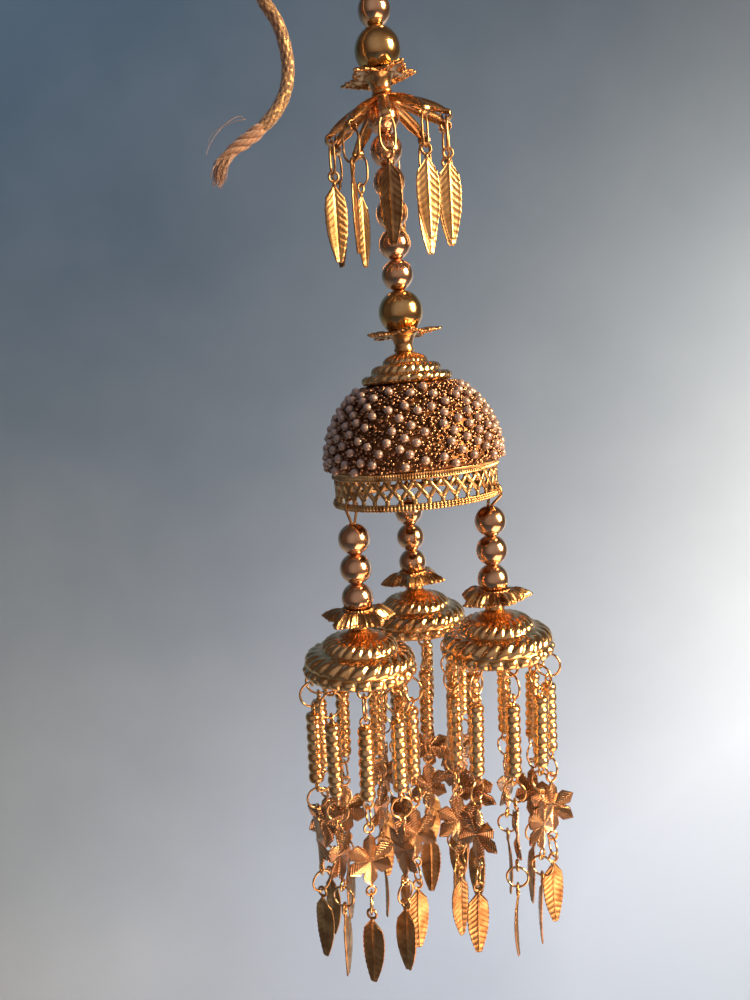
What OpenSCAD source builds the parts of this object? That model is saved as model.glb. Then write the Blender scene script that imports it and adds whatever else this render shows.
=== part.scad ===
// Kalira: a bridal bangle ornament. A cord carries a beaded column with a
// leafy umbel and a pearled dome, and three belled strands hang from the dome.
// The origin is the inside top of the cord's eye, where it is tied on.

/* [Cord] */
// Thickness of the cord in the eye and in the loose end
cord_d = 3; // [2.6:0.1:3.4]
// Inner width of the eye
eye_inner_d = 11; // [9:0.5:14]
// Thickness of the thread-wound stem
wrap_d = 4.3; // [4.1:0.1:5.2]
// Length of the thread winding
wrap_len = 26; // [18:1:30]
// Length of the bare cord under the winding
bare_len = 6.6; // [4:0.2:9]

/* [Column] */
// Diameter of the round beads
bead_d = 7.5; // [7:0.1:8]
// Height of a round bead between its flat ends
bead_h = 7; // [6.4:0.1:7.2]
// Bore of the beads
bore_d = 1.9; // [1.8:0.1:2.2]
// Thickness of the column's wire
wire_d = 1.3; // [1:0.1:1.4]
// Number of beads over the umbel
top_beads = 3; // [2:1:4]
// Number of beads between the umbel and the dome
mid_beads = 6; // [5:1:7]
// Diameter of the large balls
ball_d = 10.6; // [9.6:0.2:11]
// Height of a large ball between its flat ends
ball_h = 10.2; // [9:0.1:10.2]
// Play between threaded pieces
play = 0.1; // [0.08:0.01:0.2]

/* [Leaf cups] */
// Height of a leaf cup from its foot to its mouth
cup_h = 4.8; // [4:0.1:5.4]
// Inner width of a leaf cup's mouth
cup_mouth_d = 5.8; // [5:0.1:6.2]
// Reach of the petals from the axis
petal_reach = 9.4; // [8:0.1:10.5]
// Width of a petal
petal_w = 6.6; // [5.4:0.2:7.4]
// Thickness of a petal
cup_wall = 0.7; // [0.5:0.05:0.9]
// Number of petals
petals = 5; // [4:1:6]

/* [Umbel] */
// Number of claws
claws = 10; // [8:1:11]
// Reach of the claws from the axis
claw_reach = 14.2; // [13:0.2:15.5]
// Fall of a claw from the hub to its tip
claw_fall = 6.6; // [5.6:0.2:7.6]
// Width of a claw
claw_w = 2.8; // [2.2:0.1:3.2]
// Thickness of a claw
claw_t = 1.1; // [0.9:0.05:1.3]
// Tilt of the umbel and its cup on the wire
crown_tilt = 5; // [0:0.5:6]
// Height of an umbel's oval rings
oval_ring_h = 8; // [7:0.1:8.6]
// Width of an umbel's oval rings
oval_ring_w = 4.5; // [4:0.1:5]
// Length of an umbel leaf
umbel_leaf_len = 18.2; // [16:0.2:19.4]

/* [Dome] */
// Diameter of the dome's sheet
dome_d = 41.8; // [40.6:0.2:43]
// How far the dome stands out over its rim
dome_overhang = 0.8; // [0.4:0.1:1]
// Height of the dome's crown over its foot
dome_rise = 22; // [21:0.1:23]
// Thickness of the dome's sheet
dome_wall = 0.9; // [0.7:0.05:1.2]
// Width of the roped cap
cap_d = 21.6; // [20:0.2:22.4]
// Height of the roped cap over the dome's crown
cap_rise = 4.9; // [4.2:0.1:5.4]
// Height of the pierced rim
rim_h = 8.6; // [8:0.1:9.4]
// Thickness of the pierced rim
rim_t = 0.7; // [0.5:0.05:0.9]
// Height of the rim's upper band
rim_top_band = 1; // [0.8:0.1:1.3]
// Height of the rim's beaded lower band
rim_foot_band = 1.4; // [1.2:0.1:1.6]
// Pierced cells between two strands
cells_per_strand = 13; // [12:1:13]
// Width of the rim's lattice bars
bar_w = 0.75; // [0.6:0.05:0.9]

/* [Bells] */
// Beads on a strand
strand_beads = 3; // [2:1:4]
// Gap between the rim and a strand's first bead
hook_drop = 2.6; // [2.2:0.1:3.2]
// Thickness of the hook wire
hook_d = 0.7; // [0.6:0.05:0.8]
// Diameter of a bell
bell_d = 27.4; // [26.4:0.2:28]
// Height of a bell
bell_h = 11; // [10:0.1:12]
// Thickness of a bell's cast wall
bell_wall = 1.6; // [1.3:0.05:1.8]
// Ropes round each tier of a bell
bell_ropes = 24; // [22:1:26]

/* [Strings] */
// Strings on a bell
strings = 9; // [8:1:9]
// Distance of the strings from the bell's axis
string_reach = 11.9; // [11.6:0.1:12.1]
// Wire of the rings and eyes
ring_wire = 0.56; // [0.5:0.02:0.6]
// Width of the upper ring
upper_ring_d = 6.5; // [6:0.1:6.8]
// Width of the lower rings
lower_ring_d = 5.6; // [5.2:0.1:6]
// Inner width of an eye
eye_d = 1.7; // [1.6:0.05:1.9]
// Beads cast on a rod
rod_beads = 7; // [6:1:8]
// Diameter of a rod's beads
rod_d = 3.8; // [3.4:0.1:4]
// Distance from bead to bead on a rod
rod_pitch = 2.5; // [2.3:0.05:2.6]
// Height of a vine-leaf charm
charm_h = 13.4; // [12:0.2:14]
// Width of a vine-leaf charm
charm_w = 11.6; // [10:0.2:12]
// Length of a feather leaf
leaf_len = 16.4; // [15:0.2:17.4]
// Width of a feather leaf
leaf_w = 5.6; // [5:0.1:6.2]
// Thickness of charms and leaves at the midrib
leaf_t = 1; // [0.8:0.05:1.2]

/* [Hidden] */
$fn = 48;
// Clearance between linked wires
slack = 0.12;

// The strands, seen with the photographed side to the front.
// name, azimuth, inset of the beads, extra drop, lean to the left, bell's tilt
STRANDS = [
  ["right", 331, 1.4, 0, 1.6, 2],
  ["left", 211, 0.2, 0.6, 2.4, -2],
  ["back", 91, 0, 0.2, 0.6, 0],
];
// How far each string's charm and leaf are turned from the bell's rim, going round
CHARM_TURN = [8, 82, -10, 84, 4, -80, 12, 78, -66];
LEAF_TURN = [-20, 30, 55, -15, 35, 10, -40, 25, -5];
// How far each string swings, going round
STRING_SWING = [3.4, 2.6, 3.8, 2.4, 3.2, 2.2, 3.6, 2.8, 3.0];
// How far each umbel leaf is turned from its claw, going round
DROP_TURN = [0, -24, -62, -70, -30, 6, 28, 66, 72, 34];

// The loose end, from the winding to the frayed tip
CORD_ROUTE = [
  [-2.8, 0, -17], [-6.8, -0.4, -15.8], [-11, -1, -15.8], [-15.6, -1.6, -17.8],
  [-19.6, -2.2, -21.4], [-22.8, -2.8, -26], [-25.2, -3.4, -31.6], [-26.6, -4, -38],
  [-27.2, -4.6, -44.6], [-27, -5.2, -51.2], [-26.2, -5.6, -57.8], [-24.8, -6, -63.7],
  [-22.3, -6, -68.4], [-21.1, -6, -73.4], [-20.9, -6, -78.4], [-22, -6, -82.9],
  [-24.2, -6, -86.6], [-27.4, -6, -89.7], [-31.2, -6, -92.3], [-34.8, -6, -94.4],
  [-38.1, -6, -96.7],
];

// Heights down the column, each from the one before
eye_r = (eye_inner_d + cord_d) / 2;
z_wrap = -eye_inner_d - cord_d - 0.4;
z_wrap_end = z_wrap - wrap_len;
z_beads = z_wrap_end - bare_len;
bead_step = bead_h + play;
z_ball = z_beads - top_beads * bead_step - play - ball_h / 2;
cup_foot_r = 2.4;
cup_top_r = cup_mouth_d / 2 + 1.5;
// How far over a cup's mouth the middle of a ball rests, clear of it all round
function seat(d) = let (h = sqrt(d * d / 4 - cup_mouth_d * cup_mouth_d / 4)) h + play * d / 2 / h;
// Room for the crown to tilt, under its ball and over the first bead
crown_play = 0.4;
hub_play = 0.25;
z_cup = z_ball - seat(ball_d) - crown_play - cup_h;
hub_h = 1;
z_hub = z_cup - play;
z_mid = z_hub - hub_h - hub_play;
z_dome_ball = z_mid - mid_beads * bead_step - play - ball_h / 2;
z_dome_cup = z_dome_ball - seat(ball_d) - cup_h;
z_cap = z_dome_cup - play;
z_crown = z_cap - cap_rise;
dome_r = dome_d / 2;
z_dome = z_crown - dome_r;
z_dome_foot = z_crown - dome_rise;
z_rim = z_dome_foot - play;
z_rim_foot = z_rim - rim_h;
rim_r = dome_r - dome_overhang;
cell = 360 / (3 * cells_per_strand);

// Heights down a strand, from its first bead's top
z_strand_cup = -strand_beads * bead_step + bead_h / 2 - seat(bead_d) - cup_h;
z_bell = z_strand_cup - 2 * play;
bell_foot = z_bell - bell_h;
bell_r = bell_d / 2;
loop_r = 1.5;
loop_wire = 0.64;
loop_drop = 0.15;

// Heights down a string, from the middle of its loop
wire_r = ring_wire / 2;
eye_ring_r = eye_d / 2 + wire_r;
nest = eye_d / 2 - wire_r - slack;
loop_nest = loop_r - loop_wire / 2 - wire_r - slack;
upper_r = (upper_ring_d - ring_wire) / 2;
lower_r = (lower_ring_d - ring_wire) / 2;
rod_len = rod_beads * rod_pitch;
eye_out = eye_d / 2 + wire_r;
z_ring_1 = -loop_nest - upper_r;
z_rod_eye = z_ring_1 - upper_r - nest;
z_rod = z_rod_eye - eye_out;
z_rod_foot_eye = z_rod - rod_len - eye_out;
z_ring_2 = z_rod_foot_eye - nest - lower_r;
z_charm_eye = z_ring_2 - lower_r - nest;
z_charm = z_charm_eye - eye_out - charm_h / 2;
z_charm_foot_eye = z_charm - charm_h / 2 - eye_out;
z_ring_3 = z_charm_foot_eye - nest - lower_r;
z_leaf_eye = z_ring_3 - lower_r - nest;

COLUMN_NODES = [
  "cord_loop", "cord_wrap", "cord_tail", "column_wire",
  for (i = [1:top_beads]) str("top_bead_", i),
  "top_ball", "top_leaf_cup", "umbel", "umbel_drops", "mid_beads",
  "dome_ball", "dome_leaf_cup", "dome_cap", "dome_shell", "rim_gallery",
];
STRAND_NODES = [
  for (s = STRANDS) for (piece = ["hook", "beads", "leaf_cup", "bell"]) str(s[0], "_", piece),
];
STRING_NODES = [for (s = STRANDS) for (k = [1:strings]) str(s[0], "_string_", k)];

// Colours
ROSE = "#c98a5c";
GOLD = "#d9a344";
SATIN = "#c8904a";
CORD = "#bfa47e";
WOUND = "#9a6b3a";

function unit(v) = v / norm(v);
function tangent(p, i) = unit(p[min(i + 1, len(p) - 1)] - p[max(i - 1, 0)]);
// Directions square to a path, each turned as little as it can be from the last
function square_to(p, n, i = 0) =
  i == len(p) ? []
  : let (t = tangent(p, i), m = unit(n - (n * t) * t)) concat([m], square_to(p, m, i + 1));
function ring_at(c, n, t, r, sides) =
  [for (k = [0:sides - 1]) c + r * (cos(360 * k / sides) * n + sin(360 * k / sides) * cross(t, n))];

// A surface through rings of equal point counts, capped or closed on itself
module skin(rings, closed = false) {
  m = len(rings[0]);
  n = len(rings);
  last = closed ? n - 1 : n - 2;
  sides = [
    for (i = [0:last]) for (k = [0:m - 1])
    let (a = i * m + k, b = i * m + (k + 1) % m, j = (i + 1) % n * m)
    for (f = [[a, j + k, b], [b, j + k, j + (k + 1) % m]]) f,
  ];
  caps = closed ? [] : [[for (k = [0:m - 1]) k], [for (k = [m - 1:-1:0]) (n - 1) * m + k]];
  polyhedron(points = [for (r = rings) for (p = r) p], faces = concat(sides, caps));
}

// A round wire or cord along a path, with a radius at each point
module tube(path, radii, sides, first = [0, 1, 0]) {
  square = square_to(path, first);
  skin([for (i = [0:len(path) - 1]) ring_at(path[i], square[i], tangent(path, i), radii[i], sides)]);
}

module torus(r, wire) {
  rotate_extrude() translate([r, 0]) circle(d = wire, $fn = 24);
}

// An upright ring or eye, turned about the string that it hangs on
module link(r, wire, turn) {
  rotate([0, 0, turn]) rotate([90, 0, 0]) torus(r, wire);
}

// An upright oval ring, made like a link with straight sides
module oval_link(h, w, wire, turn) {
  r = (w - wire) / 2;
  side = h - wire - 2 * r;
  rotate([0, 0, turn]) for (up = [0, 1]) mirror([0, 0, up]) {
    translate([0, 0, side / 2]) rotate([90, 0, 0]) rotate_extrude(angle = 180) translate([r, 0]) circle(d = wire, $fn = 24);
    for (x = [-r, r]) translate([x, 0, -0.01]) cylinder(d = wire, h = side / 2 + 0.01, $fn = 24);
  }
}

module bead(d, h) {
  difference() {
    intersection() {
      sphere(d = d);
      cube([d, d, h], center = true);
    }
    cylinder(d = bore_d, h = h + 1, center = true);
  }
}

module cord_loop() {
  color(CORD) union() {
    translate([0, 0, -eye_inner_d / 2]) link(eye_r, cord_d, 0);
    translate([0, 0, z_wrap_end - 1]) cylinder(d = cord_d, h = wrap_len + cord_d / 2 + 1.4);
    difference() {
      translate([0, 0, z_beads]) cylinder(d = wrap_d - 0.3, h = bare_len - play);
      translate([0, 0, z_beads - 1]) cylinder(d = wire_d + 2 * play, h = bare_len - 1);
    }
  }
}

module cord_wrap() {
  color(WOUND) translate([0, 0, z_wrap_end]) difference() {
    cylinder(d = wrap_d, h = wrap_len);
    translate([0, 0, -1]) cylinder(d = cord_d + 2 * play, h = wrap_len + 2);
  }
}

module cord_tail() {
  color(CORD) tube(CORD_ROUTE, [for (p = CORD_ROUTE) cord_d / 2], 8);
}

// The wire runs from inside the bare cord to a stop under the dome's crown
module column_wire() {
  color(GOLD) {
    top = z_beads + bare_len - 2.4;
    foot = z_crown - dome_wall - 3 * play;
    translate([0, 0, foot - 1]) cylinder(d = wire_d, h = top - foot + 1);
    translate([0, 0, foot - 1.4]) cylinder(d = 3 * wire_d, h = 1.4);
  }
}

module top_bead(i) {
  color(ROSE) translate([0, 0, z_beads - play - (i - 1) * bead_step - bead_h / 2]) bead(bead_d, bead_h);
}

module mid_beads() {
  color(ROSE) for (i = [0:mid_beads - 1])
    translate([0, 0, z_mid - play - i * bead_step - bead_h / 2]) bead(bead_d, bead_h);
}

module ball_at(z) {
  color(GOLD) translate([0, 0, z]) bead(ball_d, ball_h);
}

// A vine-leaf petal, as shares of its length and of its half width
PETAL = [[0, 0.5], [0.3, 0.62], [0.46, 1], [0.6, 0.84], [0.78, 0.66], [1, 0]];
module petal(reach, w) {
  side = [for (p = PETAL) [p[0] * reach, p[1] * w / 2]];
  other = [for (i = [len(PETAL) - 2:-1:0]) [side[i][0], -side[i][1]]];
  linear_extrude(cup_wall) polygon(concat(side, other));
}

// A small cup whose mouth flares into petals; z = 0 is its foot
module leaf_cup(turn, droop) {
  root = cup_top_r - 1.6;
  color(SATIN) difference() {
    union() {
      cylinder(r1 = cup_foot_r, r2 = cup_top_r, h = cup_h);
      for (k = [0:petals - 1])
        rotate([0, 0, turn + 360 * k / petals])
          translate([root, 0, cup_h - cup_wall - 0.35]) rotate([0, droop, 0]) petal(petal_reach - root, petal_w);
    }
    translate([0, 0, cup_h - 3.2]) cylinder(r1 = cup_mouth_d / 2 - 1, r2 = cup_mouth_d / 2, h = 3.2);
    translate([0, 0, cup_h - 0.01]) cylinder(d = cup_mouth_d, h = 1);
    translate([0, 0, -1]) cylinder(d = bore_d + 0.5, h = cup_h);
  }
}

// The crown tilts on the wire about the middle of its cup
module on_crown() {
  pivot = z_cup + cup_h / 2;
  translate([0, 0, pivot]) rotate([0, -crown_tilt, 0]) translate([0, 0, -pivot]) children();
}

module top_leaf_cup() {
  on_crown() translate([0, 0, z_cup]) leaf_cup(12, -3);
}

// A claw bends down on one arc from the hub to its tip
claw_start = 1.9;
claw_run = claw_reach - claw_start;
claw_slope = atan(claw_fall / claw_run);
claw_bend = 26;
claw_chord = norm([claw_run, claw_fall]);
claw_arc_r = claw_chord / (2 * sin(claw_bend / 2));
claw_eye_r = 1.15;
claw_eye_wire = 0.8;
// How far a claw's middle lies under the hub's top
claw_sink = hub_h / 2 + play;
module claw() {
  start = claw_slope - claw_bend / 2;
  translate([claw_start - claw_arc_r * sin(start), claw_w / 2, -claw_arc_r * cos(start)])
    rotate([90, 0, 0])
      rotate([0, 0, 90 - start - claw_bend])
        linear_arc();
}

// The arc of a claw, lying in the XY plane about its own centre
module linear_arc() {
  rotate([0, 0, 0]) linear_extrude(claw_w) arc_strip(claw_arc_r, claw_t, claw_bend);
}

module arc_strip(r, t, angle) {
  steps = 6;
  outer = [for (i = [0:steps]) (r + t / 2) * [cos(angle * i / steps), sin(angle * i / steps)]];
  inner = [for (i = [steps:-1:0]) (r - t / 2) * [cos(angle * i / steps), sin(angle * i / steps)]];
  polygon(concat(outer, inner));
}

// Where a claw's eye hangs, from the hub
function claw_eye() = [claw_reach - 0.2, -claw_fall - claw_eye_r + 0.1];

module umbel() {
  color(SATIN) on_crown() translate([0, 0, z_hub]) difference() {
    union() {
      translate([0, 0, -hub_h]) cylinder(r1 = 4, r2 = 2.6, h = hub_h);
      for (k = [0:claws - 1]) rotate([0, 0, 360 * k / claws + 10]) {
        translate([0, 0, -claw_sink]) claw();
        translate([claw_eye()[0], 0, claw_eye()[1] - claw_sink]) link(claw_eye_r, claw_eye_wire, 0);
      }
    }
    translate([0, 0, -hub_h - 3]) cylinder(d = bore_d + 0.5, h = hub_h + 4);
  }
}

// A blade of diamond section along -Z, as shares of its length and half width
BLADE = [[0, 0.14], [0.1, 0.62], [0.34, 1], [0.6, 0.86], [0.84, 0.46], [1, 0.2]];
module leaf(len, w, t) {
  skin([
    for (p = BLADE)
    let (z = -p[0] * len, x = p[1] * w / 2, y = t * (1 - 0.6 * p[0]) / 2)
    [[x, 0, z], [0, -y, z], [-x, 0, z], [0, y, z]],
  ]);
}

module leaf_with_eye(len, turn) {
  rotate([0, 0, turn]) {
    link(eye_ring_r, ring_wire, 0);
    translate([0, 0, -eye_out + 0.25]) leaf(len, leaf_w, leaf_t);
  }
}

// How far a turn runs round to the same flat piece, within a quarter turn
function half_turn(a) = a - 180 * round(a / 180);

module umbel_drop(turn) {
  nest_up = claw_eye_r - claw_eye_wire / 2 - wire_r - slack - 0.08;
  t = half_turn(turn) / 2;
  drop = oval_ring_h - ring_wire;
  translate([0, 0, -nest_up - drop / 2]) oval_link(oval_ring_h, oval_ring_w, ring_wire, 90 + t);
  translate([0, 0, -nest_up - drop - nest]) leaf_with_eye(umbel_leaf_len, 2 * t);
}

module umbel_drops() {
  color(SATIN) for (k = [0:claws - 1]) {
    a = 360 * k / claws + 10;
    out = claw_eye();
    pivot = z_cup + cup_h / 2;
    x = out[0] * cos(a);
    z = z_hub - claw_sink + out[1] - pivot;
    tip = [
      x * cos(crown_tilt) - z * sin(crown_tilt),
      out[0] * sin(a),
      pivot + x * sin(crown_tilt) + z * cos(crown_tilt),
    ];
    translate(tip) rotate([0, 1.5, a]) umbel_drop(DROP_TURN[k % len(DROP_TURN)]);
  }
}

// A turned body whose tiers are roped: rows of radius, height, rope depth and twist
module roped(rows, ropes) {
  m = 2 * ropes;
  skin([
    for (p = rows)
    [for (k = [0:m - 1])
      let (a = -360 * (k + p[3] * 2) / m, r = p[0] + (k % 2 == 0 ? p[2] : -p[2]))
      [r * cos(a), r * sin(a), p[1]]],
  ], closed = true);
}

module dome_cap() {
  r = cap_d / 2;
  h = cap_rise + 2.6;
  function over_dome(x) = -cap_rise - dome_r + sqrt(pow(dome_r + 2 * play, 2) - x * x);
  rows = [
    [bore_d / 2 + 0.1, 0, 0, 0],
    [2.6, 0, 0, 0],
    [0.34 * r, -0.1 * h, 0.2, 0.2],
    [0.48 * r, -0.24 * h, 0.3, 0.6],
    [0.52 * r, -0.36 * h, 0, 0.8],
    [0.66 * r, -0.4 * h, 0.3, 1],
    [0.76 * r, -0.52 * h, 0.35, 1.4],
    [0.79 * r, -0.66 * h, 0, 1.6],
    [0.93 * r, -0.7 * h, 0.35, 1.8],
    [r, -0.82 * h, 0.4, 2.2],
    [0.97 * r, -0.96 * h, 0, 2.4],
    [0.88 * r, over_dome(0.88 * r), 0, 2.4],
    [0.66 * r, over_dome(0.66 * r), 0, 1.6],
    [0.38 * r, over_dome(0.38 * r), 0, 0.8],
    [bore_d / 2 + 0.1, over_dome(1), 0, 0],
  ];
  color(GOLD) translate([0, 0, z_cap]) roped(rows, bell_ropes);
}

module dome_shell() {
  // A ledge inside the foot carries the rim
  color(WOUND) difference() {
    union() {
      difference() {
        translate([0, 0, z_dome]) sphere(r = dome_r);
        translate([0, 0, z_dome]) sphere(r = dome_r - dome_wall);
      }
      translate([0, 0, z_dome_foot]) cylinder(r = dome_r - dome_wall / 2, h = dome_wall);
    }
    translate([0, 0, z_dome_foot - dome_d]) cylinder(r = dome_d, h = dome_d);
    translate([0, 0, z_dome_foot - 1]) cylinder(r = rim_r - rim_t, h = dome_wall + 2);
    translate([0, 0, z_crown - 3]) cylinder(d = bore_d, h = 4);
  }
}

// One column of openings through the rim: a flat-headed one, a diamond and a flat-footed one
module rim_openings() {
  open_h = rim_h - rim_top_band - rim_foot_band;
  w = rim_r * cell * PI / 180;
  half = (w - bar_w) / 2;
  straight = 0.15 * open_h;
  peak = 0.2 * open_h;
  foot = z_rim_foot + rim_foot_band;
  house = [[-half, 0], [half, 0], [half, straight], [0, straight + peak], [-half, straight]];
  gem = [[-0.3 * w, 0], [0, -0.19 * open_h], [0.3 * w, 0], [0, 0.19 * open_h]];
  module cut(points, z, up) {
    translate([rim_r - rim_t - 2, 0, z]) rotate([90, 0, 90]) mirror([0, up, 0])
      linear_extrude(rim_t + 3) polygon(points);
  }
  cut(house, foot, 0);
  cut(house, foot + open_h, 1);
  rotate([0, 0, cell / 2]) cut(gem, foot + open_h / 2, 0);
}

module rim_gallery() {
  color(GOLD) difference() {
    union() {
      translate([0, 0, z_rim_foot]) cylinder(r = rim_r, h = rim_h);
      translate([0, 0, z_rim_foot]) cylinder(r = rim_r + 0.3, h = rim_foot_band);
    }
    translate([0, 0, z_rim_foot - 1]) cylinder(r = rim_r - rim_t, h = rim_h + 2);
    for (k = [0:3 * cells_per_strand - 1]) rotate([0, 0, STRANDS[0][1] + k * cell]) rim_openings();
  }
}

// Puts a strand's piece in place: its first bead's top is the piece's origin
module on_strand(s) {
  r = rim_r - rim_t / 2 - s[2];
  translate([r * cos(s[1]), r * sin(s[1]), z_rim_foot - hook_drop])
    rotate([0, s[4], 0]) translate([0, 0, -s[3]]) children();
}

// The hook rounds the rim's foot, and its wire runs down through the beads to a stop in the bell
module hook(s) {
  reach = rim_foot_band / 2 + hook_d / 2 + 0.5;
  up = hook_drop + s[3] + rim_foot_band / 2;
  side = hook_d / 2 + 0.06;
  bend = [for (a = [200:-35:-20]) [s[2] + reach * cos(a), 0, up + 1.25 * reach * sin(a)]];
  path = concat(
    [
      [-side * 0.4, 0, z_bell - bell_wall - 2.4],
      [-side * 0.4, 0, z_bell - bell_wall - 1.2],
      [-side * 0.4, 0, z_bell - bell_wall - 1.1],
      [-side * 0.4, 0, -4],
      [-side, 0, -1.6],
      [-side, 0, 0.1],
    ],
    bend,
    [[side, 0, 0.1], [side, 0, -1.2]]
  );
  thick = [for (i = [0:len(path) - 1]) i < 2 ? 1.3 : hook_d / 2];
  color(SATIN) on_strand(s) rotate([0, 0, s[1]]) tube(path, thick, 6);
}

module strand_bead_row(s) {
  color(ROSE) on_strand(s) for (i = [0:strand_beads - 1])
    translate([0, 0, -play - i * bead_step - bead_h / 2]) bead(bead_d, bead_h);
}

module strand_cup(s) {
  on_strand(s) translate([0, 0, z_strand_cup]) leaf_cup(s[1] + 20, 7);
}

// Turns a bell about its top on the wire
module on_bell(s) {
  on_strand(s) translate([0, 0, z_bell]) rotate([0, -s[5], 0]) children();
}

module bell(s) {
  r = bell_r;
  h = bell_h;
  w = bell_wall;
  rows = [
    [bore_d / 2 + 0.2, 0, 0, 0],
    [1.9, 0, 0, 0],
    [0.27 * r, -0.12 * h, 0, 0],
    [0.44 * r, -0.18 * h, 0.25, 0.25],
    [0.6 * r, -0.29 * h, 0.4, 0.75],
    [0.66 * r, -0.42 * h, 0, 1.1],
    [0.83 * r, -0.49 * h, 0.35, 1.4],
    [0.94 * r, -0.64 * h, 0.5, 1.9],
    [0.95 * r, -0.77 * h, 0, 2.2],
    [0.97 * r, -0.85 * h, 0.3, 2.5],
    [0.98 * r, -0.94 * h, 0.35, 2.5],
    [string_reach + 0.7, -h, 0, 2.5],
    [string_reach - 0.7, -h, 0, 2.5],
    [0.92 * r - w, -0.8 * h, 0, 2.2],
    [0.62 * r - 0.6 * w, -0.42 * h - 0.6 * w, 0, 1.1],
    [0.22 * r, -w - 0.3, 0, 0],
    [bore_d / 2 + 0.2, -w, 0, 0],
  ];
  color(GOLD) on_bell(s) union() {
    roped(rows, bell_ropes);
    for (k = [0:strings - 1]) rotate([0, 0, string_az(s, k)]) translate([string_reach, 0, -h - loop_drop]) link(loop_r, loop_wire, 90);
  }
}

function string_az(s, k) = s[1] + 180 + 360 * k / strings;

// Puts a string in place: it hangs from its loop on the tilted bell, with its own swing
module on_string(s, k) {
  a = string_az(s, k);
  x = string_reach * cos(a);
  tip = [
    x * cos(s[5]) + (bell_h + loop_drop) * sin(s[5]),
    string_reach * sin(a),
    z_bell + x * sin(s[5]) - (bell_h + loop_drop) * cos(s[5]),
  ];
  on_strand(s) translate(tip) rotate([0, STRING_SWING[k % len(STRING_SWING)] - s[4], 0]) rotate([0, 0, a + 90]) children();
}

// A vine leaf as six kite lobes: direction, length and half width as shares
LOBES = [[90, 1.02, 0.2], [30, 0.98, 0.3], [-30, 0.96, 0.3], [-90, 1.02, 0.26], [-150, 0.96, 0.3], [150, 0.98, 0.3]];
function lobe_point(a, r, y) = [charm_w / 2 * 1.1 * r * cos(a), y, charm_h / 2 * r * sin(a)];
module charm() {
  edge = [
    for (i = [0:5])
    let (l = LOBES[i], next = LOBES[(i + 1) % 6][0], wide = atan(l[2] / 0.7))
    for (p = [
      [l[0] + wide, 0.62 * l[1] + 0.04, 0.22],
      [l[0], l[1], 0.4],
      [l[0] - wide, 0.62 * l[1] + 0.04, 0.22],
      [(l[0] + (next > l[0] ? next - 360 : next)) / 2, 0.4, 0.2],
    ]) [p[0], p[1], p[2] * leaf_t],
  ];
  n = len(edge);
  front = [for (e = edge) lobe_point(e[0], e[1], -e[2])];
  back = [for (e = edge) lobe_point(e[0], e[1], e[2])];
  points = concat([[0, -0.7 * leaf_t, 0], [0, 0.5 * leaf_t, 0]], front, back);
  faces = [
    for (i = [0:n - 1])
    let (a = 2 + i, b = 2 + (i + 1) % n, c = n + a, d = n + b)
    for (f = [[0, a, b], [1, d, c], [a, c, b], [b, c, d]]) f,
  ];
  polyhedron(points = points, faces = faces);
}

module rod() {
  r = rod_d / 2;
  profile = [
    for (i = [0:rod_beads - 1]) for (p = [[0.04, 0.62], [0.22, 0.9], [0.4, 1], [0.6, 1], [0.78, 0.9], [0.96, 0.62]])
    [p[1] * r, -(i + p[0]) * rod_pitch],
  ];
  rotate_extrude() polygon(concat([[0, 0]], profile, [[0, -rod_len]]));
}

module one_string(charm_turn, leaf_turn) {
  t = half_turn(charm_turn) / 4;
  u = half_turn(leaf_turn) / 2;
  translate([0, 0, z_ring_1]) link(upper_r, ring_wire, 90 + t);
  rotate([0, 0, 2 * t]) {
    union() {
      translate([0, 0, z_rod_eye]) link(eye_ring_r, ring_wire, 0);
      translate([0, 0, z_rod + 0.2]) cylinder(d = 1.2, h = 0.3, center = true);
      translate([0, 0, z_rod]) rod();
      translate([0, 0, z_rod_foot_eye]) link(eye_ring_r, ring_wire, 0);
    }
  }
  translate([0, 0, z_ring_2]) link(lower_r, ring_wire, 90 + 3 * t);
  rotate([0, 0, 4 * t]) union() {
    translate([0, 0, z_charm_eye]) link(eye_ring_r, ring_wire, 0);
    translate([0, 0, z_charm]) charm();
    translate([0, 0, z_charm_foot_eye]) link(eye_ring_r, ring_wire, 0);
  }
  translate([0, 0, z_ring_3]) link(lower_r, ring_wire, 90 + 4 * t + u);
  translate([0, 0, z_leaf_eye]) leaf_with_eye(leaf_len, 4 * t + 2 * u);
}

module string_at(s, k) {
  color(GOLD) on_string(s, k) one_string(CHARM_TURN[k % len(CHARM_TURN)], LEAF_TURN[k % len(LEAF_TURN)]);
}

cord_loop();
cord_wrap();
cord_tail();
column_wire();
for (i = [1:top_beads]) top_bead(i);
ball_at(z_ball);  // top_ball
top_leaf_cup();
umbel();
umbel_drops();
mid_beads();
ball_at(z_dome_ball);  // dome_ball
translate([0, 0, z_dome_cup]) leaf_cup(-12, -3);  // dome_leaf_cup
dome_cap();
dome_shell();
rim_gallery();
for (s = STRANDS) {
  hook(s);
  strand_bead_row(s);
  strand_cup(s);
  bell(s);
  for (k = [1:strings]) string_at(s, k - 1);
}
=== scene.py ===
"""Looks of a kalira, a bridal bangle ornament: a cord, a beaded column, an umbel of leaves,
a pearled dome and three belled strands. Sizes are written in millimetres.
"""

import bpy
import numpy as np
from mathutils import Matrix


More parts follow.
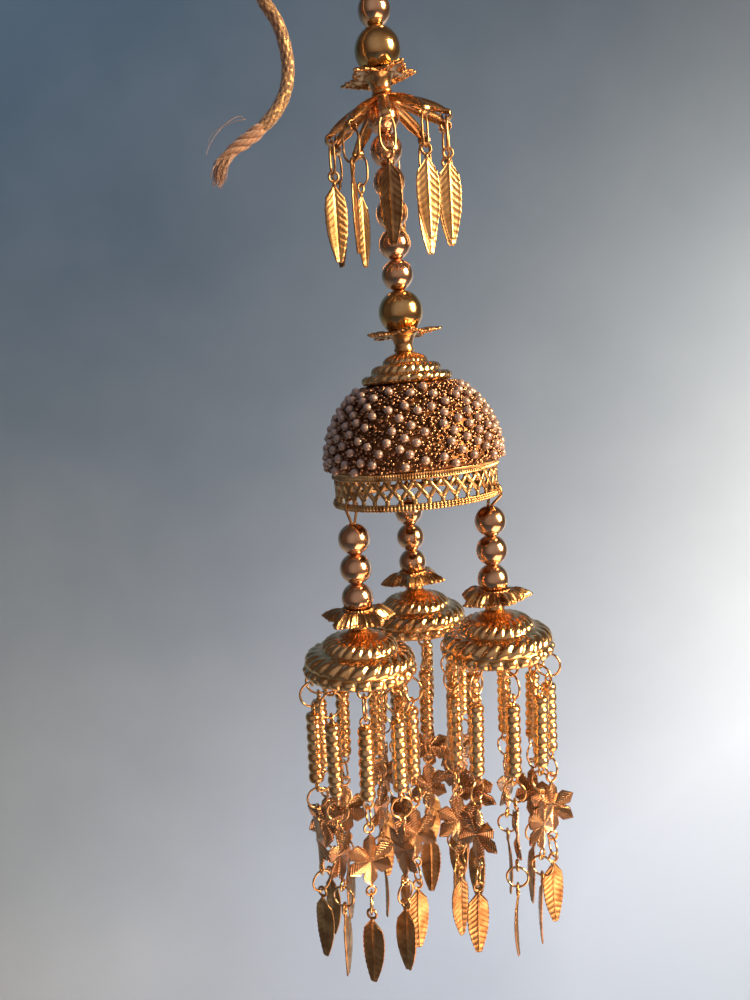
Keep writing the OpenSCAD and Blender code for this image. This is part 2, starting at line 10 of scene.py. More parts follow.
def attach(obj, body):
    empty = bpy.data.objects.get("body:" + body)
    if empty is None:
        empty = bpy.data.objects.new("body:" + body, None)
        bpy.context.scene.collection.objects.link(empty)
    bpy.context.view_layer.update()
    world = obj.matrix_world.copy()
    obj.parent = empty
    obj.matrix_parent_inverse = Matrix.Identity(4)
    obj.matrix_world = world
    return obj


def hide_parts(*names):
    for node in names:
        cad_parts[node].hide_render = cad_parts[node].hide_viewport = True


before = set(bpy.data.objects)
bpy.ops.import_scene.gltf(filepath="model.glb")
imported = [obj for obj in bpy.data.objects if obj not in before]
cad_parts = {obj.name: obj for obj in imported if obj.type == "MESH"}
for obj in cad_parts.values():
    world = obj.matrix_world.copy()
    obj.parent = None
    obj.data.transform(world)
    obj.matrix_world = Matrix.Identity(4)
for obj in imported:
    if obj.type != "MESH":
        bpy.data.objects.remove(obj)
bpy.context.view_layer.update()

# Camera
# It is held close, level with the dome's crown, and looks a little down with its right side
# low. The ornament hangs plumb, so the lean in the picture is the camera's own roll.
CAMERA_AT = np.array([-22.52, -191.6, -150.2])
YAW, PITCH, ROLL = np.radians([3.59, 7.94, -5.51])
SENSOR, FOCAL_PIXELS, PICTURE_HEIGHT = 36, 785, 1000


def stood(side, top, back, at):
    """Where a camera or a lamp stands: its three axes and its place, as a matrix's columns."""
    matrix = np.eye(4)
    matrix[:3] = np.stack([side, top, back, at], -1)
    return Matrix(matrix.tolist())


forward = np.array([np.sin(YAW) * np.cos(PITCH), np.cos(YAW) * np.cos(PITCH), -np.sin(PITCH)])
level = np.array([np.cos(YAW), -np.sin(YAW), 0])
over = np.cross(level, forward)
right = np.cos(ROLL) * level + np.sin(ROLL) * over
up = np.cos(ROLL) * over - np.sin(ROLL) * level
lens = bpy.data.cameras.new("camera")
lens.sensor_fit, lens.sensor_height = "VERTICAL", SENSOR
lens.lens = SENSOR * FOCAL_PIXELS / PICTURE_HEIGHT
lens.clip_start = 0.01
camera = bpy.data.objects.new("camera", lens)
camera.matrix_world = stood(right, up, -forward, CAMERA_AT / 1000)
bpy.context.collection.objects.link(camera)
bpy.context.scene.camera = camera

# The cord
# Three-millimetre cotton cord with a metallic thread in its braid. It makes the eye that the
# ornament hangs by, and its loose end comes out of the winding and hangs at the left, frayed.
CORD_D, EYE_INNER = 3.0, 11.0
WRAP_D, WRAP_TOP, WRAP_END, CORD_END = 4.3, -14.4, -40.4, -47.0
CORD_ROUTE = np.array(
    [
        [-2.8, 0, -17], [-6.8, -0.4, -15.8], [-11, -1, -15.8], [-15.6, -1.6, -17.8],
        [-19.6, -2.2, -21.4], [-22.8, -2.8, -26], [-25.2, -3.4, -31.6], [-26.6, -4, -38],
        [-27.2, -4.6, -44.6], [-27, -5.2, -51.2], [-26.2, -5.6, -57.8], [-24.8, -6, -63.7],
        [-22.3, -6, -68.4], [-21.1, -6, -73.4], [-20.9, -6, -78.4], [-22, -6, -82.9],
        [-24.2, -6, -86.6], [-27.4, -6, -89.7], [-31.2, -6, -92.3], [-34.8, -6, -94.4],
        [-38.1, -6, -96.7],
    ]
)


def linear(hex_colour):
    """An sRGB hex colour as linear light, with alpha 1."""
    c = np.array([int(hex_colour[i : i + 2], 16) for i in (1, 3, 5)]) / 255
    return (*np.where(c <= 0.04045, c / 12.92, ((c + 0.055) / 1.055) ** 2.4), 1)


def add(material, kind, sockets=(), out=None, **settings):
    """Adds a node and gives back one of its outputs: the one named, or else the first in use.
    Sockets come by name or number. Numbers and hex colours are written in, and outputs linked."""
    node = material.node_tree.nodes.new("ShaderNode" + kind)
    for name, value in settings.items():
        setattr(node, name, value)
    for name, value in dict(sockets).items():
        if isinstance(value, bpy.types.NodeSocket):
            material.node_tree.links.new(value, node.inputs[name])
        else:
            node.inputs[name].default_value = linear(value) if isinstance(value, str) else value
    return node.outputs[out] if out else next((s for s in node.outputs if s.enabled), None)


def new_material(name):
    """A material with an empty node tree."""
    material = bpy.data.materials.new(name)
    material.use_nodes = True
    material.node_tree.nodes.clear()
    return material


def unit(vectors):
    """Vectors brought to length 1."""
    return vectors / np.linalg.norm(vectors, axis=-1, keepdims=True)


def angles(count):
    """Angles at even steps round a full turn, in radians from 0."""
    return np.arange(count) * 2 * np.pi / count


def circle(count):
    """Points at even steps round a flat circle of radius 1."""
    return np.stack([np.cos(angles(count)), np.sin(angles(count))], -1)


def disc(radius, sides):
    """Round sections: one for a number, or one for each row of a column of radii."""
    return np.asarray(radius, float)[..., None, None] * circle(sides)


def half_round(share):
    """The height of a half round of height 1, at a share of its width."""
    return np.sqrt(np.clip(1 - (2 * share - 1) ** 2, 0, 1))


def run_of(line):
    """How far along a line each of its points lies."""
    return np.r_[0, np.cumsum(np.linalg.norm(np.diff(line, axis=0), axis=1))]


def outward(points, faces):
    """The faces of a closed shell, turned round where its volume comes out negative. The volume
    is a sum over triangles: a corner times the cross product of the other two."""
    volume = 0
    for f in faces:
        for i in range(1, f.shape[1] - 1):
            volume += np.einsum("ij,ij->", points[f[:, 0]], np.cross(points[f[:, i]], points[f[:, i + 1]]))
    return faces if volume > 0 else [f[:, ::-1] for f in faces]


def skin(grid, ring=False):
    """Faces over rows and columns of points. The columns close on themselves, and the rows too
    for a ring; otherwise a flat face closes each end."""
    rows, cols = grid.shape[:2]
    r, c = np.meshgrid(np.arange(rows if ring else rows - 1), np.arange(cols), indexing="ij")
    r2, c2 = (r + 1) % rows, (c + 1) % cols
    faces = [np.stack([r * cols + c, r * cols + c2, r2 * cols + c2, r2 * cols + c], -1).reshape(-1, 4)]
    if not ring:
        faces += [np.arange(cols)[None, ::-1], np.arange(cols)[None] + (rows - 1) * cols]
    points = grid.reshape(-1, 3)
    return points, outward(points, faces)


def sweep(path, section, side, ring=False):
    """A section carried along a path. The section's first coordinate runs along the direction
    `side` made square to the path, and its second across both."""
    path, side = np.asarray(path, float), np.asarray(side, float)
    along = unit(np.roll(path, -1, 0) - np.roll(path, 1, 0) if ring else np.gradient(path, axis=0))
    first = unit(side - np.sum(side * along, 1, keepdims=True) * along)
    second = np.cross(along, first)
    section = np.broadcast_to(section, (len(path), *section.shape[-2:]))
    return skin(path[:, None] + section[..., :1] * first[:, None] + section[..., 1:] * second[:, None], ring)


def smooth_line(points, steps):
    """Points along a Catmull-Rom curve: each span is a cubic that meets its neighbours' slopes."""
    p = np.vstack([2 * points[0] - points[1], points, 2 * points[-1] - points[-2]])
    t = np.linspace(0, 1, steps, endpoint=False)[:, None]
    a, b, c, d = (p[i : len(p) - 3 + i, None] for i in range(4))
    spans = b + 0.5 * t * (c - a + t * (2 * a - 5 * b + 4 * c - d + t * (3 * (b - c) + d - a)))
    return np.vstack([spans.reshape(-1, 3), points[-1:]])


def piece(name, shells, materials, nodes=(), groove=None, which=None):
    """One object from closed shells of points in millimetres. It rides on the ornament and
    stands for the nodes named. `groove` is a value for each point that a material reads, and
    `which` says, for each shell, which of the materials it has."""
    corners = np.concatenate([p for p, _ in shells]) / 1000
    starts = np.cumsum([0] + [len(p) for p, _ in shells])
    faces = [f + start for (_, fs), start in zip(shells, starts) for f in fs]
    kinds = [kind for (_, fs), kind in zip(shells, which or [0] * len(shells)) for f in fs]
    sizes = np.concatenate([np.full(len(f), f.shape[1]) for f in faces])
    loops = np.concatenate([f.ravel() for f in faces]).astype(np.int32)
    mesh = bpy.data.meshes.new(name)
    mesh.vertices.add(len(corners))
    mesh.vertices.foreach_set("co", corners.ravel())
    mesh.loops.add(len(loops))
    mesh.loops.foreach_set("vertex_index", loops)
    mesh.polygons.add(len(sizes))
    mesh.polygons.foreach_set("loop_start", np.concatenate([[0], np.cumsum(sizes)[:-1]]).astype(np.int32))
    mesh.polygons.foreach_set("use_smooth", sizes < 5)
    for material in materials if isinstance(materials, list) else [materials]:
        mesh.materials.append(material)
    mesh.polygons.foreach_set("material_index", np.repeat(kinds, [len(f) for f in faces]).astype(np.int32))
    if groove is not None:
        layer = mesh.attributes.new("groove", "FLOAT", "POINT")
        layer.data.foreach_set("value", np.concatenate([np.ravel(g) for g in groove]).astype(np.float32))
    mesh.update(calc_edges=True)
    mesh.validate()
    made = bpy.data.objects.new(name, mesh)
    bpy.context.collection.objects.link(made)
    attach(made, "root")
    if nodes:
        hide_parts(*nodes)
    return made


def braided(path, radius, side, ring=False, cols=48, strands=8, cell=1.5, relief=0.16):
    """A braided cord: two families of strands wind round it, one each way, and cross every
    `cell` along it. Each strand is a half round across its width, and rises and dips as it
    crosses the others. They stand proud by `relief` of the cord's radius."""
    path = np.asarray(path, float)
    steps = np.linalg.norm(np.diff(path, axis=0, append=path[:1] if ring else path[-1:]), axis=1)
    length = np.cumsum(steps) - steps
    turns = np.round(steps.sum() / (2 * cell)) * 2 * cell if ring else steps.sum()
    s = length[:, None] / cell * (turns / steps.sum() if ring else 1)
    around = np.arange(cols)[None] / cols * strands
    a, b = around + s / 2, around - s / 2
    over_other = (np.floor(a) + np.floor(b)) % 2 < 0.5
    strand, run = np.where(over_other, a % 1, b % 1), np.where(over_other, b % 1, a % 1)
    height = half_round(strand) * (0.5 + 0.5 * np.sin(np.pi * run))
    radii = radius * (1 - relief + relief * height)
    # The height it gives back also sets the cord's painted shade in the crevices between strands.
    return sweep(path, radii[..., None] * circle(cols), side, ring), height


def cotton_cord(name, cotton, deep, thread, metal):
    """Cotton: matt and fuzzy, with painted shade that makes it darker where the groove is deep.
    A metallic thread run in with it glints in specks."""
    m = new_material(name)
    groove = add(m, "Attribute", out="Fac", attribute_name="groove")
    where = add(m, "TexCoord", out="Object")
    # Fibres are finer than a pixel, so they are drawn 0.33 mm wide, and the specks 0.77 mm.
    fibre = add(m, "TexNoise", {"Vector": where, "Scale": 1000 / 0.333, "Detail": 3.0})
    speck = add(m, "TexNoise", {"Vector": where, "Scale": 1000 / 0.77, "Detail": 2.0})
    height = add(m, "MapRange", {"Value": groove, "From Min": 0.25, "From Max": 0.8})
    # The deep colour is painted shade in the crevices between strands, where the groove value is low.
    tone = add(m, "Mix", {"Factor": height, "A": deep, "B": cotton}, data_type="RGBA")
    glint = add(m, "MapRange", {"Value": speck, "From Min": 0.54, "From Max": 0.6})
    metallic = add(m, "Math", {0: glint, 1: metal}, operation="MULTIPLY")
    colour = add(m, "Mix", {"Factor": metallic, "A": tone, "B": thread}, data_type="RGBA")
    fuzz = add(m, "Bump", {"Height": fibre, "Strength": 0.6, "Distance": 0.0002})
    shine = add(m, "MapRange", {"Value": metallic, "To Min": 0.8, "To Max": 0.32})
    sockets = {"Base Color": colour, "Roughness": shine, "Metallic": metallic, "Normal": fuzz}
    shader = add(m, "BsdfPrincipled", sockets | {"Sheen Weight": 0.3, "Sheen Roughness": 0.5})
    add(m, "OutputMaterial", {"Surface": shader})
    return m


# The second colour is the braid's painted shade in its crevices.
braid = cotton_cord("braided_cotton", "#8B705C", "#3C2A22", "#E6BE88", 0.8)
turn, eye_r = angles(220), (EYE_INNER + CORD_D) / 2
eye_path = np.stack([eye_r * np.sin(turn), 0 * turn, -EYE_INNER / 2 - eye_r * np.cos(turn)], -1)
eye, eye_height = braided(eye_path, CORD_D / 2, [0, 1, 0], ring=True)
# The stem runs from the eye's foot through the winding, swells, and ends at the first bead.
stem_z = np.linspace(WRAP_TOP + 1.4, CORD_END + 0.1, 120)
swell = np.interp(stem_z, [CORD_END, CORD_END + 0.7, WRAP_END - 0.2, WRAP_END + 0.8], [0.86, 1.3, 1.3, 1])
stem, stem_height = braided(stem_z[:, None] * [0, 0, 1], CORD_D / 2 * swell[:, None], [0, 1, 0])
piece("cord_eye", [eye, stem], braid, ["cord_loop"], [eye_height, stem_height])

# The last 12 mm are undone: four soft plies still lie round each other, and end in a tuft.
# The braid thins out where it laps over them.
FRAY, FRAY_LAP, PLIES, PLY_TURN = 12.0, 0.6, 4, 12.0
tail_path = smooth_line(CORD_ROUTE, 26)
tail_run = run_of(tail_path)
cord_length = tail_run[-1]
to_end = cord_length - tail_run
whole, loose = to_end > FRAY - FRAY_LAP, to_end < FRAY + 2 * FRAY_LAP
taper = np.interp(to_end[whole], [FRAY - FRAY_LAP, FRAY, FRAY + 1.5], [0.45, 0.85, 1])
tail, tail_height = braided(tail_path[whole], CORD_D / 2 * taper[:, None], [0, 1, 0], cols=40)
undone, undone_run = tail_path[loose], tail_run[loose][:, None]
share = np.linspace(0, 1, len(undone))


def undone_ply(k):
    """A ply that winds slowly round the cord's middle, lifting off it and then thinning out. Its
    strands are the size of a sine that turns round the ply and runs along it."""
    along = unit(np.gradient(undone, axis=0))
    first = np.cross(along, [0, 1.0, 0])
    second = np.cross(along, first)
    a = 2 * np.pi * (k / PLIES + undone_run / PLY_TURN)
    off = np.interp(share, [0, 0.15, 0.55, 1], [0.5, 0.8, 0.82, 0.5])[:, None]
    thick = np.interp(share, [0, 0.15, 0.6, 1], [0.5, 0.82, 0.72, 0.3])[:, None]
    strands = np.abs(np.sin(2.5 * angles(16) + 2.2 * undone_run + k))
    radii = thick * (0.86 + 0.14 * strands)
    path = undone + off * (np.cos(a) * first + np.sin(a) * second)
    # The groove value it gives back sets painted shade between its strands.
    return sweep(path, radii[..., None] * circle(16), [0, 1, 0]), 0.35 + 0.5 * strands


plies = [undone_ply(k) for k in range(PLIES)]
# Undone cotton is paler and softer than the braid, and shows less of the metallic thread.
# Its second colour is painted shade between the strands of the plies.
soft_cotton = cotton_cord("loose_cotton", "#A38474", "#5A3E35", "#DDB594", 0.25)
loose_end = piece(
    "cord_loose_end",
    [tail] + [p for p, _ in plies],
    [braid, soft_cotton],
    ["cord_tail"],
    [tail_height] + [g for _, g in plies],
    [0] + [1] * PLIES,
)


def hair(start, lean, end, wave, thick):
    """A fibre on a cubic curve from its start, along `lean`, down to its end, with a slow wave."""
    t = np.linspace(0, 1, 16)[:, None]
    near, far = start + lean, end + [0.3, 0, 2.0]
    bow = (1 - t) ** 3 * start + 3 * t * (1 - t) ** 2 * near + 3 * t**2 * (1 - t) * far + t**3 * end
    return sweep(bow + wave * np.sin(np.pi * t) * t, disc(thick * (1 - 0.55 * t[:, 0]), 5), [0.1, 1, 0.2])


FIBRES, STRAY_D = 110, 0.14
rng = np.random.default_rng(7)
tip, heading = tail_path[-1], unit(tail_path[-1] - tail_path[-30])
fibres = []
for _ in range(FIBRES):
    start = tail_path[-1 - int(rng.uniform(0, 40))] + rng.normal(0, 0.38, 3)
    end = tip + [-0.6, 0, -4.0] + np.clip(rng.normal(0, 1, 3) * [0.9, 0.8, 0.9], -1.7, 1.7)
    lean, wave = heading * rng.uniform(1, 2.6), rng.normal(0, 0.5, 3)
    fibres.append(hair(start, lean, end, wave, rng.uniform(0.08, 0.15)))
# Two stray hairs arch away to the left. Each has its start, its lean and its end.
strays = np.array(
    [
        [[-31.9, -6, -87.6], [-2.6, 0, 0.9], [-40.9, -6, -95.2]],
        [[-31.4, -6.2, -88.2], [-3, 0, -0.4], [-40.2, -6, -92.6]],
    ]
)
fibres += [hair(start, lean, end, np.array([0, 0.3, 0.9]), STRAY_D / 2) for start, lean, end in strays]
shades = [np.full(len(p), 0.45 + 0.5 * (i % 3) / 2) for i, (p, _) in enumerate(fibres)]
tuft = piece("cord_tuft", fibres, soft_cotton, groove=shades)

# The winding
# Gold-brown metallic thread wound tight round the doubled cord, turn beside turn, over a
# core that isn't quite even.
THREAD, THREAD_SINK = 0.42, 0.18


def wound_thread(name, colour, shade):
    """Metallic thread: a satin metal film round a core, with painted shade between the turns, and duller
    where it has rubbed.
    """
    m = new_material(name)
    groove = add(m, "Attribute", out="Fac", attribute_name="groove")
    where = add(m, "TexCoord", out="Object")
    # The thread has rubbed in patches of about 1.4 mm.
    worn = add(m, "TexNoise", {"Vector": where, "Scale": 1000 / 1.43, "Detail": 3.0})
    mixed = add(m, "Math", {0: groove, 1: worn}, operation="MULTIPLY")
    painted_shade_and_wear = add(m, "MapRange", {"Value": mixed, "From Min": 0.1, "From Max": 0.55})
    # The shade colour is painted shade between the turns, where the groove value is low, and also the
    # dullness of the rubbed patches.
    tone = add(m, "Mix", {"Factor": painted_shade_and_wear, "A": shade, "B": colour}, data_type="RGBA")
    shader = add(m, "BsdfPrincipled", {"Base Color": tone, "Metallic": 0.5, "Roughness": 0.42})
    add(m, "OutputMaterial", {"Surface": shader})
    return m


wrap_z, around = np.arange(WRAP_TOP, WRAP_END, -THREAD / 6)[:, None], angles(28)
ridge = half_round((wrap_z / THREAD + around / (2 * np.pi)) % 1)
uneven = 0.05 * np.sin(wrap_z * 1.7) * np.cos(around + wrap_z * 0.4)
radii = WRAP_D / 2 - THREAD_SINK + 0.16 * ridge + uneven
winding = sweep(wrap_z * [0, 0, 1], radii[..., None] * circle(28), [1, 0, 0])
# The loose cord's root runs in between the turns, and meets the loose end where it comes out.
root_path = CORD_ROUTE[0] + np.linspace(1.9, -0.1, 9)[:, None] * [0.95, 0.1, -0.29]
root, root_height = braided(root_path, CORD_D / 2, [0, 1, 0], cols=40)
# The thread's second colour is its painted shade between turns and its rubbed dullness.
metals = [wound_thread("metallic_thread", "#B98645", "#3A2213"), braid]
piece("thread_winding", [winding, root], metals, ["cord_wrap"], [ridge, root_height], [0, 1])

# Beads and balls
# Hollow brass beads, spun and plated in rose gold, threaded on a wire; larger yellow-gold
# balls sit in the leaf cups. The plate is bright, with a faint handling haze.
BEAD_D, BEAD_H, BORE, PLAY = 7.5, 7.0, 1.9, 0.1
BALL_D, BALL_H = 10.6, 10.2
STEP = BEAD_H + PLAY


def plated(name, colour, shade, roughness, haze=0.1, dents=0.00004, engraving=0):
    """Gold plate on brass: bright metal, with a darker film and a haze in patches. Engraved
    lines, where it has them, are a sine of the piece's own groove value in millimetres, and are darker in
    their troughs."""
    m = new_material(name)
    where = add(m, "TexCoord", out="Object")
    # Haze comes in patches of about 3 mm, and dents in ones of about 1.1 mm.
    patches = add(m, "TexNoise", {"Vector": where, "Scale": 1000 / 3.03, "Detail": 3.0})
    wave = add(m, "TexNoise", {"Vector": where, "Scale": 1000 / 1.111, "Detail": 1.0})
    film = add(m, "MapRange", {"Value": patches, "From Min": 0.35, "From Max": 0.72})
    tone = add(m, "Mix", {"Factor": film, "A": colour, "B": shade}, data_type="RGBA")
    span = {"From Min": 0.3, "From Max": 0.75, "To Min": roughness, "To Max": roughness + haze}
    rough = add(m, "MapRange", {"Value": patches} | span)
    relief = add(m, "Bump", {"Height": wave, "Strength": 0.35, "Distance": dents})
    if engraving:
        groove = add(m, "Attribute", out="Fac", attribute_name="groove")
        turns = add(m, "Math", {0: groove, 1: 2 * np.pi / engraving}, operation="MULTIPLY")
        line = add(m, "Math", {0: turns}, operation="SINE")
        # The engraved lines are darker toward their troughs.
        span = {"From Min": -0.9, "From Max": 0.3, "To Min": 0.6, "To Max": 0.0}
        hollow = add(m, "MapRange", {"Value": line} | span)
        tone = add(m, "Mix", {"Factor": hollow, "A": tone, "B": "#5A3418"}, data_type="RGBA")
        relief = add(m, "Bump", {"Height": line, "Strength": 1.0, "Distance": 0.0002, "Normal": relief})
    sockets = {"Base Color": tone, "Metallic": 1.0, "Roughness": rough, "Normal": relief}
    add(m, "OutputMaterial", {"Surface": add(m, "BsdfPrincipled", sockets)})
    return m


def turned(r, a, z):
    """Points at a radius and an angle round Z, and at a height."""
    return np.stack(np.broadcast_arrays(r * np.cos(a), r * np.sin(a), z), -1)


def lathe(profile, cols=40):
    """A profile of radius and height turned about Z."""
    profile = np.asarray(profile, float)
    return turned(profile[:, :1], angles(cols), profile[:, 1:])


def bead(d, h, cols=44, rows=26):
    """A sphere cut flat at both ends, with its edge turned into the bore."""
    z = h / 2 * np.sin(np.linspace(-np.pi / 2, np.pi / 2, rows))
    r = np.sqrt(d * d / 4 - z * z)
    mouth, edge, lip = BORE / 2, 0.12, 0.5
    profile = [[mouth, -h / 2 + lip], [mouth, -h / 2 + edge], [mouth + edge, -h / 2]]
    profile += list(zip(r, z)) + [[mouth + edge, h / 2], [mouth, h / 2 - edge], [mouth, h / 2 - lip]]
    return skin(lathe(profile, cols), ring=True)


def frame_of(x=0, y=0, z=0, turn_y=0, turn_z=0):
    """A placing: turned about Z, then Y, then moved. Angles are in degrees."""
    ay, az = np.radians([turn_y, turn_z])
    ry = np.array([[np.cos(ay), 0, np.sin(ay)], [0, 1, 0], [-np.sin(ay), 0, np.cos(ay)]])
    rz = np.array([[np.cos(az), -np.sin(az), 0], [np.sin(az), np.cos(az), 0], [0, 0, 1]])
    matrix = np.eye(4)
    matrix[:3, :3], matrix[:3, 3] = ry @ rz, (x, y, z)
    return matrix


def placed(shells, *frames):
    """Shells taken through placings, the last one first."""
    matrix = np.linalg.multi_dot([*frames, np.eye(4), np.eye(4)])
    return [(p @ matrix[:3, :3].T + matrix[:3, 3], f) for p, f in shells]


def seat(d):
    """How far the middle of a ball lies over the mouth of the cup that holds it, with a play of
    PLAY between them where they touch."""
    high = np.sqrt(d * d - CUP_MOUTH * CUP_MOUTH) / 2
    return high + PLAY * d / 2 / high


# Rose gold has copper in it, so it mirrors in warm pinks. Yellow gold mirrors brighter.
rose_gold = plated("rose_gold_plate", "#F1CBAB", "#D5A886", 0.13)
yellow_gold = plated("yellow_gold_plate", "#ECCB92", "#C49A64", 0.11)
one_bead = bead(BEAD_D, BEAD_H)


def threaded(top, count):
    """Beads on a wire, one under another from a height, with a play of PLAY over each."""
    heights = [top - PLAY - i * STEP - BEAD_H / 2 for i in range(count)]
    return [placed([one_bead], frame_of(z=z))[0] for z in heights]


for i, shell in enumerate(threaded(CORD_END, 3)):
    piece(f"column_bead_{i + 1}", [shell], rose_gold, [f"top_bead_{i + 1}"])
# From the top down: ball, cup, umbel, six beads, ball and cup, each on the one below.
CUP_H, CUP_MOUTH = 4.8, 5.8
HUB_H, CROWN_PLAY, HUB_PLAY = 1.0, 0.4, 0.25
TOP_BALL = CORD_END - 3 * STEP - PLAY - BALL_H / 2
TOP_CUP = TOP_BALL - seat(BALL_D) - CROWN_PLAY - CUP_H
HUB = TOP_CUP - PLAY
MID = HUB - HUB_H - HUB_PLAY
DOME_BALL = MID - 6 * STEP - PLAY - BALL_H / 2
DOME_CUP = DOME_BALL - seat(BALL_D) - CUP_H
for name, z in (("top_ball", TOP_BALL), ("dome_ball", DOME_BALL)):
    piece("gold_" + name, placed([bead(BALL_D, BALL_H, 56, 34)], frame_of(z=z)), yellow_gold, [name])
piece("middle_beads", threaded(MID, 6), rose_gold, ["mid_beads"])

# Leaf cups
# Stamped brass cups whose mouths flare into five joined vine leaves with toothed edges, which
# are milled with grains. They are plated satin gold, and handling has bent the thin sheet.
PETALS, COLLAR_R, SHEET, GRAIN_PITCH = 5, 2.95, 0.34, 1.05
PETAL_ACROSS = [0, 0.1, 0.2, 0.28, 0.36, 0.5, 0.58, 0.66, 0.8, 0.92, 1]
PETAL_REACH = [9.4, 8.6, 8.1, 7.4, 7.9, 6.9, 7.3, 6.7, 5.9, 5.9, 5.2]
# Satin plate is brushed before plating, so its mirror is broad and soft.
satin_gold = plated("satin_gold_plate", "#E6BC88", "#AE7C50", 0.2, 0.14, 0.00006)


def evenly(loop, count):
    """Points at equal steps round a closed line."""
    ends = np.vstack([loop, loop[:1]])
    at = run_of(ends)
    want = np.arange(count) * at[-1] / count
    return np.stack([np.interp(want, at, ends[:, i]) for i in range(3)], -1)


def grains(loop, pitch, small, large):
    """A wire milled into grains along a closed line: half-round lumps at an even pitch. Its
    radius runs from `small` to `large` with the size of a sine."""
    length = np.linalg.norm(np.roll(loop, -1, 0) - loop, axis=1).sum()
    count = int(round(length / pitch))
    lump = np.abs(np.sin(np.pi * np.arange(count * 6) / 6))
    return sweep(evenly(loop, count * 6), disc(small + (large - small) * lump**0.7, 8), [0, 0, 1], ring=True)


def vine_collar(rise, droop, seed):
    """Five vine leaves joined in a ring. Across a leaf, w runs from -1 to 1 and the edge's reach
    follows a table by |w|; out from the cup, u runs from 0 to 1. The sheet rises from the cup and
    then droops, with a rib along each leaf and side veins that leave it slanting."""
    own = np.random.default_rng(seed)
    part = np.arange(200) / 200 * PETALS
    w, petal = 2 * (part % 1) - 1, np.floor(part).astype(int)
    tipped = 1 - w**2
    reach = np.interp(abs(w), PETAL_ACROSS, PETAL_REACH)
    bend = droop + own.normal(0, 0.45, PETALS)[petal] * tipped
    lift = own.normal(0, 0.25, PETALS)[petal] * tipped
    u = np.linspace(0, 1, 13)[:, None]
    rib = 0.3 * np.exp(-((w / 0.09) ** 2)) * np.clip(3 * u, 0, 1)
    vein = 0.16 * np.maximum(0, np.cos(2 * np.pi * (3.6 * u - 1.6 * abs(w)))) ** 2 * (abs(w) < 0.85) * u
    rising = (rise + lift) * np.sin(np.pi / 2 * np.clip(u / 0.5, 0, 1))
    falling = bend * np.clip((u - 0.3) / 0.7, 0, 1) ** 1.6
    z = CUP_H - 0.45 + rising - falling + 0.3 * tipped * u + rib + vein
    top = turned(COLLAR_R + (reach - COLLAR_R) * u, part / PETALS * 2 * np.pi, z)
    normal = np.cross(np.gradient(top, axis=0), np.roll(top, -1, 1) - np.roll(top, 1, 1))
    under = top - SHEET * unit(normal)
    edge = (top[-1] + under[-1]) / 2
    return [skin(np.concatenate([top, under[::-1]]), ring=True), grains(edge, GRAIN_PITCH, 0.17, 0.36)]


def leaf_cup(turn, rise, droop, seed):
    """The cup turned from a profile, with grains round the ball's seat and the leaves round
    its mouth."""
    profile = [
        [1.75, 0], [2.35, 0.05], [2.5, 0.45], [2.15, 1.0], [2.25, 1.9], [2.65, 3.0], [3.2, 3.9], [3.75, 4.3],
        [3.6, 4.6], [3.1, 4.55], [2.8, 4.0], [2.2, 2.6], [1.8, 1.6], [1.3, 1.5], [1.3, 0.1],
    ]
    cup = skin(lathe(profile), ring=True)
    seat_ring = grains(turned(3.55, angles(120), 4.75), 0.8, 0.16, 0.34)
    return placed([cup, seat_ring, *vine_collar(rise, droop, seed)], frame_of(turn_z=turn - 180 / PETALS))


# The umbel and the cup on it have tipped on their wire.
CROWN_TILT = 5.0
PIVOT = TOP_CUP + CUP_H / 2
crown = frame_of(z=PIVOT, turn_y=-CROWN_TILT) @ frame_of(z=-PIVOT)
top_cup = placed(leaf_cup(12, 0.4, 1.1, 10), crown, frame_of(z=TOP_CUP))
piece("top_vine_cup", top_cup, satin_gold, ["top_leaf_cup"])
dome_cup = placed(leaf_cup(-12, 0.7, 0.7, 20), frame_of(z=DOME_CUP))
piece("dome_vine_cup", dome_cup, satin_gold, ["dome_leaf_cup"])

# The umbel
# Ten hollow claws stamped from one brass blank spread from a small hub. Each ends in a rolled
# eye, from which an oval jump ring carries a feather leaf.
CLAWS, FIRST_CLAW, CLAW_START, CLAW_REACH, CLAW_FALL, CLAW_W, CLAW_BEND = 10, 10, 1.9, 14.2, 6.6, 2.8, 26.0
CLAW_EYE, CLAW_EYE_WIRE = 1.15, 0.8
CLAW_SINK = HUB_H / 2 + PLAY
OVAL_H, OVAL_W, RING_WIRE = 8.0, 4.5, 0.56
EYE_D, SLACK = 1.7, 0.12
DROP_TURN = [0, -24, -62, -70, -30, 6, 28, 66, 72, 34]
LEAF_W, UMBEL_LEAF, LEAF_SHEET = 5.5, 18.2, 0.32
# A leaf's half width, as a share of the most that it has, at shares of the way down it.
LEAF_DOWN = [0, 0.04, 0.1, 0.2, 0.34, 0.5, 0.66, 0.8, 0.92, 1]
LEAF_HALF = [0.14, 0.36, 0.62, 0.86, 1, 1, 0.9, 0.7, 0.45, 0.26]
EYE_OUT, EYE_FALL = CLAW_REACH - 0.2, CLAW_FALL + CLAW_EYE - 0.1
WIRE_R = RING_WIRE / 2
EYE_R = EYE_D / 2 + WIRE_R
NEST = EYE_D / 2 - WIRE_R - SLACK


def torus(radius, wire, rows=30, cols=8):
    """An upright ring in the XZ plane."""
    a = angles(rows)
    path = np.stack([radius * np.cos(a), 0 * a, radius * np.sin(a)], -1)
    return sweep(path, disc(wire / 2, cols), [0, 1, 0], ring=True)


def oval_ring(height, width, wire):
    """An upright oval ring: two half circles drawn apart, with slightly bowed sides between."""
    r, a = (width - wire) / 2, angles(40)
    apart = ((height - wire) / 2 - r) * (0.6 * np.tanh(4 * np.sin(a)) + 0.4 * np.sin(a))
    path = np.stack([r * np.cos(a), 0 * a, r * np.sin(a) + apart], -1)
    return sweep(path, disc(wire / 2, 8), [0, 1, 0], ring=True)


def stalk(heights, radii, sides):
    """A short round stalk on the Z axis, with a radius at each height."""
    return sweep(np.array(heights)[:, None] * [0, 0, 1], disc(np.array(radii), sides), [0, 1, 0])


